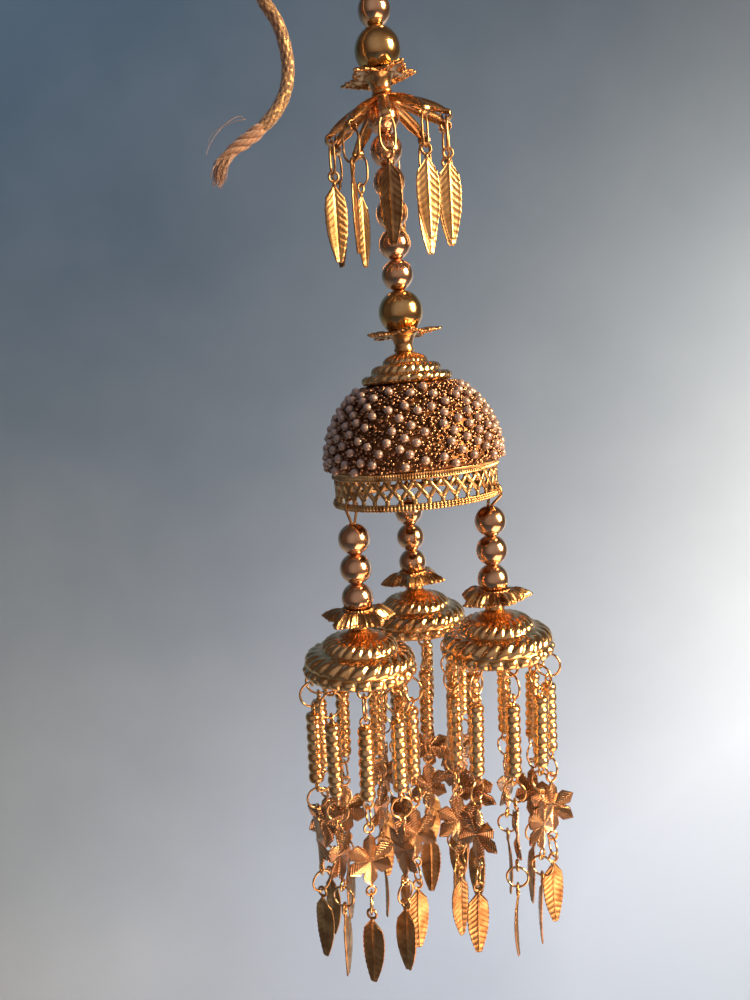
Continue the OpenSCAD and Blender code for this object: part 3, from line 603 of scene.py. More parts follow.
def feather(length, seed, curl=0.0):
    """A feather leaf hanging along -Z, stamped from thin sheet. Its rows run from the midrib out
    and down along the veins, so every fifth row is a vein's crest, and its half width follows a
    table with a nick at each vein. It is dished across and bowed along."""
    own = np.random.default_rng(seed)
    veins, per = 10, 5
    count = veins * per + 3
    t = np.linspace(0, 1, count)[:, None]
    v = np.array([-1, -0.9, -0.6, -0.3, -0.13, -0.05, 0, 0.05, 0.13, 0.3, 0.6, 0.9, 1])[None]
    s = t + 0.2 * np.abs(v) ** 0.9 * (1 - t)
    half = np.interp(s, LEAF_DOWN, LEAF_HALF) * LEAF_W / 2
    crest = np.resize([1.0, 0.15, 0.0, 0.0, 0.15], count)[:, None]
    x = v * half * (1 - 0.035 * (crest < 0.1) * (np.abs(v) > 0.85))
    rib = 0.2 * np.exp(-((v / 0.07) ** 2)) * (1 - 0.5 * t)
    vein = 0.1 * crest * np.clip(9 * (np.abs(v) - 0.04), 0, 1)
    edge = 0.1 * (np.abs(v) > 0.95)
    dish, bow = 0.17 * v**2, curl * np.sin(np.pi * s) + 0.25 * own.normal() * s**2
    y = -(0.15 + rib + vein + edge) + dish + bow
    top = np.stack(np.broadcast_arrays(x, y, -s * length), -1)
    under = top + [0, LEAF_SHEET, 0]
    return skin(np.concatenate([top, under[:, ::-1]], 1))


def leaf_on_eye(length, seed, curl=0.0):
    """A feather leaf under its eye, with the short neck that joins them."""
    neck = stalk([-EYE_R + 0.1, -EYE_R - 0.5, -EYE_R - 1.3], [0.5, 0.42, 0.3], 10)
    leaf = placed([feather(length, seed, curl)], frame_of(z=-EYE_R + 0.2))
    return [torus(EYE_R, RING_WIRE * 1.15, 24, 8), neck] + leaf


def claw():
    """A half-round trough that arches out and down from the hub, and is flattened at its tip and
    rolled up in an eye. Its section is an arch of `deep` by `wide`, with a thin wall."""
    run, arch_rows, roll_rows = CLAW_REACH - CLAW_START, 18, 20
    slope, chord = np.degrees(np.arctan2(CLAW_FALL, run)), np.hypot(run, CLAW_FALL)
    radius = chord / (2 * np.sin(np.radians(CLAW_BEND / 2)))
    a = np.radians(slope - CLAW_BEND / 2 + np.linspace(0, CLAW_BEND, arch_rows))
    roll = np.radians(np.linspace(90 - np.degrees(a[-1]), -205, roll_rows))
    x = np.r_[CLAW_START + radius * (np.sin(a) - np.sin(a[0])), EYE_OUT + CLAW_EYE * np.cos(roll)]
    z = np.r_[-radius * (np.cos(a[0]) - np.cos(a)), -EYE_FALL + CLAW_EYE * np.sin(roll)]
    path = np.stack([x, 0 * x, z], -1)
    n = np.arange(len(x))
    strip = np.interp(n, [0, 12, 17, 21, n[-1]], [CLAW_W + 0.3, CLAW_W + 0.3, 2.5, 2.1, 1.9])
    wide = np.minimum(strip, np.where(n < arch_rows, 0.7 * x, 9))[:, None] / 2
    deep = np.interp(n, [0, 4, 12, 17, 20, n[-1]], [0.5, 1.5, 1.8, 0.8, 0.25, 0.15])[:, None]
    crown_at = np.interp(n, [0, 14, 18, n[-1]], [0.45, 0.5, 0.3, 0.25])[:, None]
    arc = np.radians(np.linspace(0, 180, 13))[None]
    outer = np.stack([crown_at - deep * (1 - np.sin(arc)), wide * np.cos(arc)], -1)
    inner = np.stack([crown_at - 0.3 - deep * (1 - np.sin(arc)), (wide - 0.22) * np.cos(arc)], -1)[:, ::-1]
    upward = np.cross(np.gradient(path, axis=0), [0, 1.0, 0])
    return sweep(path, np.concatenate([outer, inner], 1), upward)


hub_profile = [[1.3, 0.05], [2.2, 0.02], [2.7, -0.2], [3.3, -0.45], [3.4, -0.75], [3.0, -1.0], [1.3, -1.0]]
claw_turns = [360 * k / CLAWS + FIRST_CLAW for k in range(CLAWS)]
claws = [placed([claw()], frame_of(z=-CLAW_SINK, turn_z=turn))[0] for turn in claw_turns]
umbel_parts = [skin(lathe(hub_profile, 40), ring=True)] + claws
piece("umbel_claws", placed(umbel_parts, crown, frame_of(z=HUB)), satin_gold, ["umbel"])


def half_turn(a):
    """The smallest turn that sets a flat piece the same way."""
    return a - 180 * np.round(a / 180)


# The leaves' plate is thin over a matt stamping, so it shines in broad brown and yellow sheets.
leaf_gold = plated("leaf_gold_plate", "#D9B180", "#8C6642", 0.28, 0.14, 0.00005)
drops = []
hang = CLAW_EYE - CLAW_EYE_WIRE / 2 - WIRE_R - SLACK - 0.08
fall = OVAL_H - RING_WIRE
for k in range(CLAWS):
    out = np.array([EYE_OUT, 0, -CLAW_SINK - EYE_FALL, 1])
    tip = crown @ frame_of(z=HUB) @ frame_of(turn_z=claw_turns[k]) @ out
    at = frame_of(*tip[:3]) @ frame_of(turn_y=1.5, turn_z=claw_turns[k])
    t = half_turn(DROP_TURN[k]) / 2
    drops += placed([oval_ring(OVAL_H, OVAL_W, RING_WIRE)], at, frame_of(z=-hang - fall / 2, turn_z=90 + t))
    drops += placed(leaf_on_eye(UMBEL_LEAF, 40 + k), at, frame_of(z=-hang - fall - NEST, turn_z=2 * t))
piece("umbel_feathers", drops, leaf_gold, ["umbel_drops"])

# The dome
# A brass dome covered with small brown-gold glass seeds and larger champagne pearls, capped
# with a roped boss and footed with a pierced gallery.
DOME_R, DOME_RISE, CAP_RISE, CAP_D, ROPES = 20.9, 22.0, 4.9, 21.6, 24
CAP_TOP = DOME_CUP - PLAY
CROWN = CAP_TOP - CAP_RISE
DOME_Z = CROWN - DOME_R
DOME_FOOT = CROWN - DOME_RISE
RIM_TOP, RIM_H, RIM_R, RIM_T = DOME_FOOT - PLAY, 8.6, DOME_R - 0.8, 0.7
RIM_FOOT, RIM_INNER = RIM_TOP - RIM_H, RIM_R - RIM_T


def roped(rows, points_per_rope=8, fine=3):
    """A turned body with rope bands. Rows give radius, height, rope height and twist, and are
    filled in between; a rope's section is a half round with a sharp groove beside it."""
    rows = np.asarray(rows, float)
    k = np.arange(0, len(rows) - 1 + 1e-9, 1 / fine)
    r, z, rise, twist = (np.interp(k, np.arange(len(rows)), rows[:, i])[:, None] for i in range(4))
    a = angles(ROPES * points_per_rope)
    lift = rise * (2 * half_round((a * ROPES / (2 * np.pi) + twist) % 1) - 1.15)
    slope_r, slope_z = np.gradient(r, axis=0), np.gradient(z, axis=0)
    size = np.maximum(np.hypot(slope_r, slope_z), 1e-6)
    return skin(turned(r - lift * slope_z / size, a, z + lift * slope_r / size), ring=True)


def over_dome(x):
    """The height at a radius x of a sphere that clears the dome by 0.2 mm, from the cap's top."""
    return -CAP_RISE - DOME_R + np.sqrt((DOME_R + 0.2) ** 2 - x * x)


def cap():
    """The roped cap, in steps of its radius and height, with its underside on the dome."""
    r, h = CAP_D / 2, CAP_RISE + 2.6
    rows = [
        [1.05, 0, 0, 0], [2.2, 0, 0, 0], [2.9, -0.3, 0, 0.1], [0.34 * r, -0.1 * h, 0.12, 0.2],
        [0.41 * r, -0.16 * h, 0.3, 0.4], [0.48 * r, -0.25 * h, 0.22, 0.6], [0.52 * r, -0.36 * h, 0, 0.8],
        [0.56 * r, -0.37 * h, 0, 0.9], [0.66 * r, -0.4 * h, 0.25, 1.0], [0.73 * r, -0.47 * h, 0.38, 1.3],
        [0.77 * r, -0.56 * h, 0.26, 1.5], [0.79 * r, -0.66 * h, 0, 1.6], [0.83 * r, -0.67 * h, 0, 1.7],
        [0.92 * r, -0.7 * h, 0.28, 1.8], [0.99 * r, -0.78 * h, 0.42, 2.1], [r, -0.88 * h, 0.3, 2.3],
        [0.97 * r, -0.97 * h, 0, 2.4], [0.9 * r, over_dome(0.9 * r), 0, 2.4],
        [0.6 * r, over_dome(0.6 * r), 0, 2.4], [1.05, over_dome(1), 0, 2.4],
    ]
    return roped(rows)


# The bright plate lies on polished castings: sharp lights on the ropes, dark lines between.
bright_gold = plated("bright_gold_plate", "#F9DAA9", "#DCAC74", 0.16, 0.1, 0.00006)
piece("roped_cap", placed([cap()], frame_of(z=CAP_TOP)), bright_gold, ["dome_cap"])

# The dome's sheet is brass browned with age, and shows dull between the seeds and inside.
DOME_WALL = 0.9
bronze = plated("bronzed_sheet", "#9C6E48", "#5E3E28", 0.4, 0.2)
wall = np.linspace(np.arcsin(1 / DOME_R), np.arccos(1 - DOME_RISE / DOME_R), 40)
sphere = np.stack([np.sin(wall), np.cos(wall)], -1)
foot = [[DOME_R - 0.1, DOME_FOOT], [RIM_INNER, DOME_FOOT], [RIM_INNER, DOME_FOOT + 0.9]]
inner = (sphere * (DOME_R - DOME_WALL) + [0, DOME_Z])[-4::-1]
shell = skin(lathe(np.vstack([sphere * DOME_R + [0, DOME_Z], foot, inner]), 96), ring=True)
piece("dome_sheet", [shell], bronze, ["dome_shell"])


def spread(count):
    """Directions spread evenly over a sphere, each a golden angle on from the last."""
    n = np.arange(count)
    height = 1 - 2 * (n + 0.5) / count
    return turned(np.sqrt(1 - height**2), n * np.pi * (3 - 5**0.5), height)


def studded(centres, d, cols, rows):
    """Many small balls: one ball of few faces, copied to every centre."""
    polar = np.linspace(0, np.pi, rows)[1:-1, None]
    p, f = skin(d / 2 * turned(np.sin(polar), angles(cols), np.cos(polar)))
    points = (centres[:, None] + p).reshape(-1, 3)
    step = (np.arange(len(centres)) * len(p))[:, None, None]
    return points, [(g + step).reshape(-1, g.shape[1]) for g in f]


# The pearls were set about 3.4 mm apart. On the front, a little to the right, many have come off.
PEARL_D, PEARLS, PEARL_OUT = 2.05, 560, 0.62
SEED_D, SEEDS, SEED_OUT = 0.98, 7000, 0.22
PEARL_CLEAR, WORN_SIDE, PEARLS_FROM, SEEDS_FROM = 1.2, 272, 36, 31
rng = np.random.default_rng(3)
pearls = unit(spread(PEARLS) + rng.normal(0, 0.012, (PEARLS, 3)))
to_worn = np.cos(np.arctan2(pearls[:, 1], pearls[:, 0]) - np.radians(WORN_SIDE))
kept = rng.random(PEARLS) < np.interp(to_worn, [0.6, 0.9], [1, 0.72])
pearls = pearls[kept & (pearls[:, 2] < np.cos(np.radians(PEARLS_FROM))) & (pearls[:, 2] > -0.035)]
seeds = spread(SEEDS) + rng.normal(0, 0.011, (SEEDS, 3))
clear = np.min(np.linalg.norm(seeds[:, None] - pearls[None], axis=2), axis=1) * DOME_R > PEARL_CLEAR
seeds = seeds[clear & (seeds[:, 2] < np.cos(np.radians(SEEDS_FROM))) & (seeds[:, 2] > -0.045)]


def pearl_glaze():
    """Glass pearls: a satin champagne-pink lacquer over a darker core, under a clear gloss."""
    m = new_material("champagne_pearl")
    where = add(m, "TexCoord", out="Object")
    # The tone changes from pearl to pearl, over about 3.3 mm.
    lot = add(m, "TexNoise", {"Vector": where, "Scale": 1000 / 3.33, "Detail": 1.0})
    tone = add(m, "Mix", {"Factor": lot, "A": "#C4ACA2", "B": "#866E66"}, data_type="RGBA")
    sockets = {"Base Color": tone, "Metallic": 0.3, "Roughness": 0.3}
    sockets |= {"Coat Weight": 1.0, "Coat Roughness": 0.08, "Coat IOR": 1.8}
    add(m, "OutputMaterial", {"Surface": add(m, "BsdfPrincipled", sockets)})
    return m


def seed_glaze():
    """Cut glass seeds with a gilt lining: brown, gold and pinkish ones mixed, sharp and bright."""
    m = new_material("gilt_glass_seeds")
    where = add(m, "TexCoord", out="Object")
    # Each seed is about 1 mm, so the mix changes over about 0.8 mm.
    lot = add(m, "TexNoise", {"Vector": where, "Scale": 1000 / 0.8, "Detail": 0.0})
    choice = add(m, "MapRange", {"Value": lot, "From Min": 0.38, "From Max": 0.62})
    warm = add(m, "Mix", {"Factor": choice, "A": "#6C4A34", "B": "#C09474"}, data_type="RGBA")
    sockets = {"Base Color": warm, "Metallic": 0.85, "Roughness": 0.16}
    sockets |= {"Coat Weight": 0.5, "Coat Roughness": 0.05}
    add(m, "OutputMaterial", {"Surface": add(m, "BsdfPrincipled", sockets)})
    return m


middle = np.array([0, 0, DOME_Z])
pearl_balls = studded(middle + pearls * (DOME_R + PEARL_OUT), PEARL_D, 14, 10)
piece("dome_pearls", [pearl_balls], pearl_glaze())
seed_balls = studded(middle + seeds * (DOME_R + SEED_OUT), SEED_D, 6, 5)
piece("dome_seeds", [seed_balls], seed_glaze())

# The gallery is stamped strip, pierced and rolled into a ring: two families of slanting bars
# cross between short posts. A ladder band runs along its top and a milled foot along its bottom.
# The stamping is left satin, so its bars shine broadly and its hollows go brown.
CELLS, FIRST_OPENING, BAR_W, RIM_TOP_BAND, RIM_FOOT_BAND = 39, 331, 0.98, 1.0, 1.4
RUNGS, MILL_PITCH = 206, 0.87
stamped_gold = plated("stamped_strip_gold", "#EBCB98", "#9A7248", 0.27, 0.16, 0.00012)


def bar(turns, heights, out):
    """A bar on the ring between two places, each a turn in cells and a height. Its face is
    crowned, and its back is flat."""
    t = np.linspace(0, 1, 5)[:, None]
    a = np.radians(FIRST_OPENING + (turns[0] + (turns[1] - turns[0]) * t) * 360 / CELLS)
    face, back, half = 0.33 + out, out - 0.2, BAR_W / 2
    edge, flat = face - 0.16, 0.45 * half
    section = [[back, -half], [back, half], [edge, half], [face, flat], [face, -flat], [edge, -half]]
    path = turned(RIM_R - RIM_T / 2, a, heights[0] + (heights[1] - heights[0]) * t)[:, 0]
    return sweep(path, np.array(section), np.hstack([np.cos(a), np.sin(a), 0 * a]))


low, high = RIM_FOOT + RIM_FOOT_BAND, RIM_TOP - RIM_TOP_BAND
knee, shoulder = low + 0.18 * (high - low), high - 0.18 * (high - low)
bars = []
for k in range(CELLS):
    bars += [bar((k + 0.5, k + 1.5), (knee, shoulder), 0.0), bar((k + 0.5, k - 0.5), (knee, shoulder), 0.02)]
    bars += [bar((k + 0.5, k + 0.5), ends, 0.01) for ends in ((low - 0.2, knee), (shoulder, high + 0.2))]
band_profiles = [
    [[RIM_INNER, high], [RIM_R - 0.05, high], [RIM_R - 0.05, RIM_TOP], [RIM_INNER, RIM_TOP]],
    [[RIM_INNER, RIM_FOOT], [RIM_R + 0.2, RIM_FOOT], [RIM_R + 0.2, low], [RIM_INNER, low]],
]
bands = [skin(lathe(profile, 96), ring=True) for profile in band_profiles]
piece("pierced_gallery", bars + bands, stamped_gold, ["rim_gallery"])


def ladder_band(low, high):
    """Two plain rails with rungs between them, on a thin ring. The rails lie where the share of
    the height is near 0 or 1, and the rungs take three columns out of every six."""
    a = angles(RUNGS * 6)
    rung = np.resize([0.0, 0, 0, 1, 1, 1], RUNGS * 6)
    share = np.array([0, 0.05, 0.16, 0.22, 0.78, 0.84, 0.95, 1])[:, None]
    rail = (abs(share - 0.5) > 0.32) * 1.0
    r = RIM_R + 0.05 + 0.42 * np.maximum(rail, 0.8 * rung) * (1 - 0.4 * (abs(share - 0.5) > 0.49))
    z = low + (high - low) * share
    return skin(np.concatenate([turned(r, a, z), turned(RIM_R - 0.2, a, z[[-1, 0]])]), ring=True)


# Three milled wires run round the foot: their height, how far out, and their radii.
MILLED = [(1.2, 0.3, 0.12, 0.3), (0.68, 0.32, 0.16, 0.46), (0.18, 0.3, 0.12, 0.3)]
trims = [ladder_band(RIM_TOP - 1.75, RIM_TOP - 0.05)]
for rise, out, small, large in MILLED:
    trims.append(grains(turned(RIM_R + out, angles(400), RIM_FOOT + rise), MILL_PITCH, small, large))
piece("gallery_bands", trims, stamped_gold)

wire_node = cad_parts["column_wire"]
wire_node.data.materials.clear()
wire_node.data.materials.append(yellow_gold)

# Strands and bells
# Three strands hook under the gallery. Each is a wire through three beads and a leaf cup to a
# cast bell with two roped bands, a ring of lumps round its foot and nine small loops.
HOOK_DROP, HOOK_D, HOOK_GAP, KNOB_D = 2.6, 0.7, 0.06, 2.6
BELL_D, BELL_H, BELL_WALL, BELL_BORE = 27.4, 11.0, 1.6, 2.3
STRINGS, STRING_REACH, LOOP_R, LOOP_WIRE, LOOP_DROP = 9, 11.9, 1.5, 0.64, 0.15
# name, azimuth, inset of the beads, extra drop, lean to the left, the bell's tilt
STRANDS = [
    ("right", 331, 1.4, 0, 1.6, 2),
    ("left", 211, 0.2, 0.6, 2.4, -2),
    ("back", 91, 0, 0.2, 0.6, 0),
]
STRAND_CUP = -3 * STEP + BEAD_H / 2 - seat(BEAD_D) - CUP_H
BELL = STRAND_CUP - 2 * PLAY


def strand_frame(azimuth, inset, drop, lean):
    """Where a strand hangs: its first bead's top is the origin."""
    x, y, z = turned(RIM_R - RIM_T / 2 - inset, np.radians(azimuth), RIM_FOOT - HOOK_DROP)
    return frame_of(x, y, z) @ frame_of(turn_y=lean) @ frame_of(z=-drop)


def hook(inset, drop):
    """The doubled wire: from a knob inside the bell up through the beads, round the gallery's
    foot in an arc of an ellipse, and back down into the first bead."""
    reach = RIM_FOOT_BAND / 2 + HOOK_D / 2 + 0.5
    high = HOOK_DROP + drop + RIM_FOOT_BAND / 2
    side = HOOK_D / 2 + HOOK_GAP
    a = np.radians(np.arange(205, -26, -10))
    bend = np.stack([inset + reach * np.cos(a), 0 * a, high + 1.25 * reach * np.sin(a)], -1)
    knob = BELL - BELL_WALL - 2.4
    low = [[-0.4 * side, 0, z] for z in (knob, knob + 1.2, knob + 1.3, -4)]
    rise, end = [[-side, 0, -1.6], [-side, 0, 0.1]], [[side, 0, 0.1], [side, 0, -1.2]]
    path = np.array(low + rise + bend.tolist() + end)
    thick = np.where(np.arange(len(path)) < 2, KNOB_D, HOOK_D) / 2
    return sweep(path, disc(thick, 10), [0, 1, 0])


def bell():
    """The roped bell in steps of its radius and height, with a flat foot between the lumps and
    the inside wall."""
    r, h, w, bore = BELL_D / 2, BELL_H, BELL_WALL, BELL_BORE / 2
    rows = [
        [bore, 0, 0, 0], [1.8, 0, 0, 0], [2.4, -0.25, 0.05, 0], [0.25 * r, -0.1 * h, 0.12, 0.05],
        [0.33 * r, -0.14 * h, 0.12, 0.1], [0.37 * r, -0.15 * h, 0, 0.15], [0.42 * r, -0.165 * h, 0.1, 0.2],
        [0.5 * r, -0.2 * h, 0.36, 0.45], [0.58 * r, -0.26 * h, 0.42, 0.75], [0.64 * r, -0.34 * h, 0.3, 1.0],
        [0.665 * r, -0.42 * h, 0, 1.1], [0.7 * r, -0.435 * h, 0, 1.15], [0.75 * r, -0.45 * h, 0.1, 1.2],
        [0.84 * r, -0.49 * h, 0.42, 1.45], [0.91 * r, -0.57 * h, 0.5, 1.75], [0.95 * r, -0.67 * h, 0.42, 2.0],
        [0.95 * r, -0.75 * h, 0, 2.2], [0.935 * r, -0.77 * h, 0, 2.3], [0.955 * r, -0.8 * h, 0.3, 2.5],
        [0.975 * r, -0.86 * h, 0.55, 2.5], [0.965 * r, -0.93 * h, 0.42, 2.5], [0.945 * r, -0.98 * h, 0, 2.5],
        [STRING_REACH + 0.65, -h, 0, 2.5], [STRING_REACH - 0.7, -h, 0, 2.5], [0.92 * r - w, -0.8 * h, 0, 2.5],
        [0.62 * r - 0.6 * w, -0.42 * h - 0.6 * w, 0, 2.5], [0.22 * r, -w - 0.3, 0, 2.5], [bore, -w, 0, 2.5],
    ]
    return roped(rows)


one_bell, one_loop = bell(), torus(LOOP_R, LOOP_WIRE, 28, 8)

# Strings under the bells
# From each loop hangs a ring, a rod cast as seven beads, a ring, a vine-leaf charm, a ring and
# a feather leaf. The charms are stamped, with fine engraved lines on every lobe.
UPPER_RING, LOWER_RING = 6.5, 5.6
ROD_BEADS, ROD_D, ROD_PITCH = 7, 3.8, 2.5
CHARM_H, CHARM_W, CHARM_SHEET, LEAF_LEN = 13.4, 11.6, 0.36, 16.4
CHARM_TURN = [8, 82, -10, 84, 4, -80, 12, 78, -66]
LEAF_TURN = [-20, 30, 55, -15, 35, 10, -40, 25, -5]
STRING_SWING = [3.4, 2.6, 3.8, 2.4, 3.2, 2.2, 3.6, 2.8, 3.0]
# Each lobe's direction in degrees, and its length and half width as shares of the charm's.
LOBES = [(90, 1.02, 0.2), (30, 0.98, 0.3), (-30, 0.96, 0.3)]
LOBES += [(-90, 1.02, 0.26), (-150, 0.96, 0.3), (150, 0.98, 0.3)]

LOOP_NEST = LOOP_R - LOOP_WIRE / 2 - WIRE_R - SLACK
UPPER_R, LOWER_R = (UPPER_RING - RING_WIRE) / 2, (LOWER_RING - RING_WIRE) / 2
ROD_LEN = ROD_BEADS * ROD_PITCH
Z_RING_1 = -LOOP_NEST - UPPER_R
Z_ROD_EYE = Z_RING_1 - UPPER_R - NEST
Z_ROD = Z_ROD_EYE - EYE_R
Z_ROD_FOOT = Z_ROD - ROD_LEN - EYE_R
Z_RING_2 = Z_ROD_FOOT - NEST - LOWER_R
Z_CHARM_EYE = Z_RING_2 - LOWER_R - NEST
Z_CHARM = Z_CHARM_EYE - EYE_R - CHARM_H / 2
Z_CHARM_FOOT = Z_CHARM - CHARM_H / 2 - EYE_R
Z_RING_3 = Z_CHARM_FOOT - NEST - LOWER_R
Z_LEAF_EYE = Z_RING_3 - LOWER_R - NEST


def rod():
    """Seven balls run together: the radius is the outermost of the spheres at each height."""
    z = np.linspace(0, 1, ROD_BEADS * 9 + 1)
    part = (z * ROD_BEADS) % 1 - 0.5
    part[-1] = 0.5
    r = np.sqrt(np.clip((ROD_D / 2) ** 2 - (part * ROD_PITCH) ** 2, 0.3, None))
    r[0] = r[-1] = 0.9
    return skin(lathe(np.stack([r, -z * ROD_LEN], -1), 18))


def charm(seed):
    """A vine leaf in rings round its middle. Its edge runs through the lobes' tips, shoulders
    and notches in straight lines. Each lobe is folded along its own rib into two flat slopes,
    and tips a little to the front or back. The groove value of a point is how far it lies along
    its lobe plus 0.9 of how far across, which sets the engraved lines slanting off the rib."""
    own = np.random.default_rng(seed)
    edge, per = [], 4
    for i, (a, length, width) in enumerate(LOBES):
        after = LOBES[(i + 1) % 6][0]
        wide = np.degrees(np.arctan(width / 0.7))
        edge += [(a + wide, 0.76 * length), (a, length), (a - wide, 0.76 * length)]
        edge += [((a + (after - 360 if after > a else after)) / 2, 0.5)]
    ang, rad = np.array(edge).T
    full = np.array([CHARM_W / 2 * 1.1, CHARM_H / 2])
    corner = rad[:, None] * np.stack([np.cos(np.radians(ang)), np.sin(np.radians(ang))], -1) * full
    t = (np.arange(per) / per)[None, :, None]
    rim = (corner[:, None] * (1 - t) + np.roll(corner, -1, 0)[:, None] * t).reshape(-1, 2)
    # Round the rim, each lobe is a shoulder at 0, a tip at 1, a shoulder at 2 and a notch at 3.
    spot = (np.arange(len(rim)) / per) % 4
    from_tip = np.abs((spot - 1 + 2) % 4 - 2)
    lobe = (np.arange(len(rim)) // per + 1) // 4 % 6
    ring = np.linspace(0.05, 1, 9)[:, None]
    x, z = ring * rim[:, 0], ring * rim[:, 1]
    toward = np.radians([direction for direction, _, _ in LOBES])
    axis = unit(np.stack([np.cos(toward), np.sin(toward)], -1) * full)[lobe]
    along, across = x * axis[:, 0] + z * axis[:, 1], np.abs(x * axis[:, 1] - z * axis[:, 0])
    high = np.interp(from_tip, [0, 0.3, 1, 2], [0.42, 0.3, 0.05, -0.1])
    tip_to = own.normal(0, 0.55, 6)[lobe] * np.clip(1.4 - from_tip, 0, 1)
    front = np.stack([x, -(0.62 * (1 - ring) + high * ring) + tip_to * ring**2 * 0.8, z], -1)
    grid = np.concatenate([front, (front + [0, CHARM_SHEET, 0])[::-1]])
    groove = along + 0.9 * across
    return skin(grid), np.concatenate([groove, groove[::-1]])


# The engraving is cut through the plate's film, so its lines flash as the charm turns.
engraved_gold = plated("engraved_gold_plate", "#F8D4AE", "#D8AA82", 0.17, 0.1, 0.00005, engraving=0.7)


def string_shells(k, seed):
    """One string hanging from its loop, with every link turned a share of the way round. The
    shells come with their groove values, and with the number of the metal that each has."""
    t, u = half_turn(CHARM_TURN[k]) / 4, half_turn(LEAF_TURN[k]) / 2
    eye = torus(EYE_R, RING_WIRE * 1.1, 20, 7)
    upper, lower = torus(UPPER_R, RING_WIRE, 30, 7), torus(LOWER_R, RING_WIRE, 28, 7)
    neck, foot = (stalk([s * 0.45, s * 0.1, s * -0.4], [0.55, 0.7, 0.95], 14) for s in (1, -1))
    links = [
        ([upper], Z_RING_1, 90 + t),
        ([eye], Z_ROD_EYE, 2 * t),
        ([rod(), neck], Z_ROD, 0),
        ([foot], Z_ROD - ROD_LEN, 0),
        ([eye], Z_ROD_FOOT, 2 * t),
        ([lower], Z_RING_2, 90 + 3 * t),
        ([eye], Z_CHARM_EYE, 4 * t),
        ([eye], Z_CHARM_FOOT, 4 * t),
        ([lower], Z_RING_3, 90 + 4 * t + u),
    ]
    gold = [shell for shells, z, turn in links for shell in placed(shells, frame_of(z=z, turn_z=turn))]
    leaf = placed(leaf_on_eye(LEAF_LEN, seed + 500, 0.5), frame_of(z=Z_LEAF_EYE, turn_z=4 * t + 2 * u))
    vine, groove = charm(seed)
    grooves = [np.zeros(len(p)) for p, _ in gold + leaf] + [groove]
    which = [0] * len(gold) + [1] * len(leaf) + [2]
    return gold + leaf + placed([vine], frame_of(z=Z_CHARM, turn_z=4 * t)), grooves, which


for number, (name, azimuth, inset, drop, lean, tilt) in enumerate(STRANDS):
    at = strand_frame(azimuth, inset, drop, lean)
    wire = placed([hook(inset, drop)], at, frame_of(turn_z=azimuth))
    piece(name + "_hook_wire", wire, satin_gold, [name + "_hook"])
    piece(name + "_strand_beads", placed(threaded(0, 3), at), rose_gold, [name + "_beads"])
    cup = placed(leaf_cup(azimuth + 20, 0.3, 2.6, 100 + 10 * number), at, frame_of(z=STRAND_CUP))
    piece(name + "_vine_cup", cup, satin_gold, [name + "_leaf_cup"])
    on_bell = at @ frame_of(z=BELL) @ frame_of(turn_y=-tilt)
    from_middle = frame_of(STRING_REACH, 0, -BELL_H - LOOP_DROP)
    string_turns = [azimuth + 180 + 360 * k / STRINGS for k in range(STRINGS)]
    loops = [
        placed([one_loop], on_bell, frame_of(turn_z=turn), from_middle, frame_of(turn_z=90))[0]
        for turn in string_turns
    ]
    piece(name + "_roped_bell", placed([one_bell], on_bell) + loops, bright_gold, [name + "_bell"])
    for k, turn in enumerate(string_turns):
        tip = (on_bell @ frame_of(turn_z=turn) @ from_middle)[:3, 3]
        string_at = frame_of(*tip) @ frame_of(turn_y=STRING_SWING[k]) @ frame_of(turn_z=turn + 90)
        shells, grooves, which = string_shells(k, 1000 + 20 * number + k)
        string, metals = placed(shells, string_at), [bright_gold, leaf_gold, engraved_gold]
        nodes = [f"{name}_string_{k + 1}"]
        piece(f"{name}_leaf_string_{k + 1}", string, metals, nodes, grooves, which)

# The room
# A plastered blue-grey wall well behind, which bends round into a plain pale floor. A tall
# window at the right gives the warm light, and the rest of the room is dim.
# Its sizes are in metres.
WALL_Y, FLOOR_Z, COVE = 0.9, -1.15, 0.3
WALL_TOP, FLOOR_END, ROOM_HALF = 1.6, -2.5, 3.0


def plaster():
    """Plaster: blue-grey and matt, faintly mottled, with painted light that makes it paler to the right and
    toward the floor.
    The paleness is the square of a share across plus a share down, with mottling added."""
    m = new_material("plaster_with_painted_light")
    where = add(m, "TexCoord", out="Object")
    # The mottling is broad, in clouds of about 200 mm.
    cloud = add(m, "TexNoise", {"Vector": where, "Scale": 1000 / 200, "Detail": 6.0})
    x, z = (add(m, "SeparateXYZ", {"Vector": where}, out=axis) for axis in "XZ")
    # The paleness toward the floor and the right is painted light, standing in for how the wall is lit.
    down = add(m, "MapRange", {"Value": z, "From Min": 0.35, "From Max": -0.95, "To Max": 0.66})
    across = add(m, "MapRange", {"Value": x, "From Min": -0.6, "From Max": 0.6, "To Max": 0.46})
    pale = add(m, "Math", {0: down, 1: across}, operation="ADD")
    curve = add(m, "Math", {0: pale, 1: 2.0}, operation="POWER")
    span = {"From Min": 0.2, "From Max": 0.8, "To Min": -0.06, "To Max": 0.06}
    blotch = add(m, "MapRange", {"Value": cloud} | span)
    mixed = add(m, "Math", {0: curve, 1: blotch}, operation="ADD", use_clamp=True)
    # The dark colour is the wall in painted shade at the upper left, and the pale one is the wall in painted
    # light at the lower right.
    tone = add(m, "Mix", {"Factor": mixed, "A": "#5C727E", "B": "#DDE4E6"}, data_type="RGBA")
    add(m, "OutputMaterial", {"Surface": add(m, "BsdfPrincipled", {"Base Color": tone, "Roughness": 0.9})})
    return m


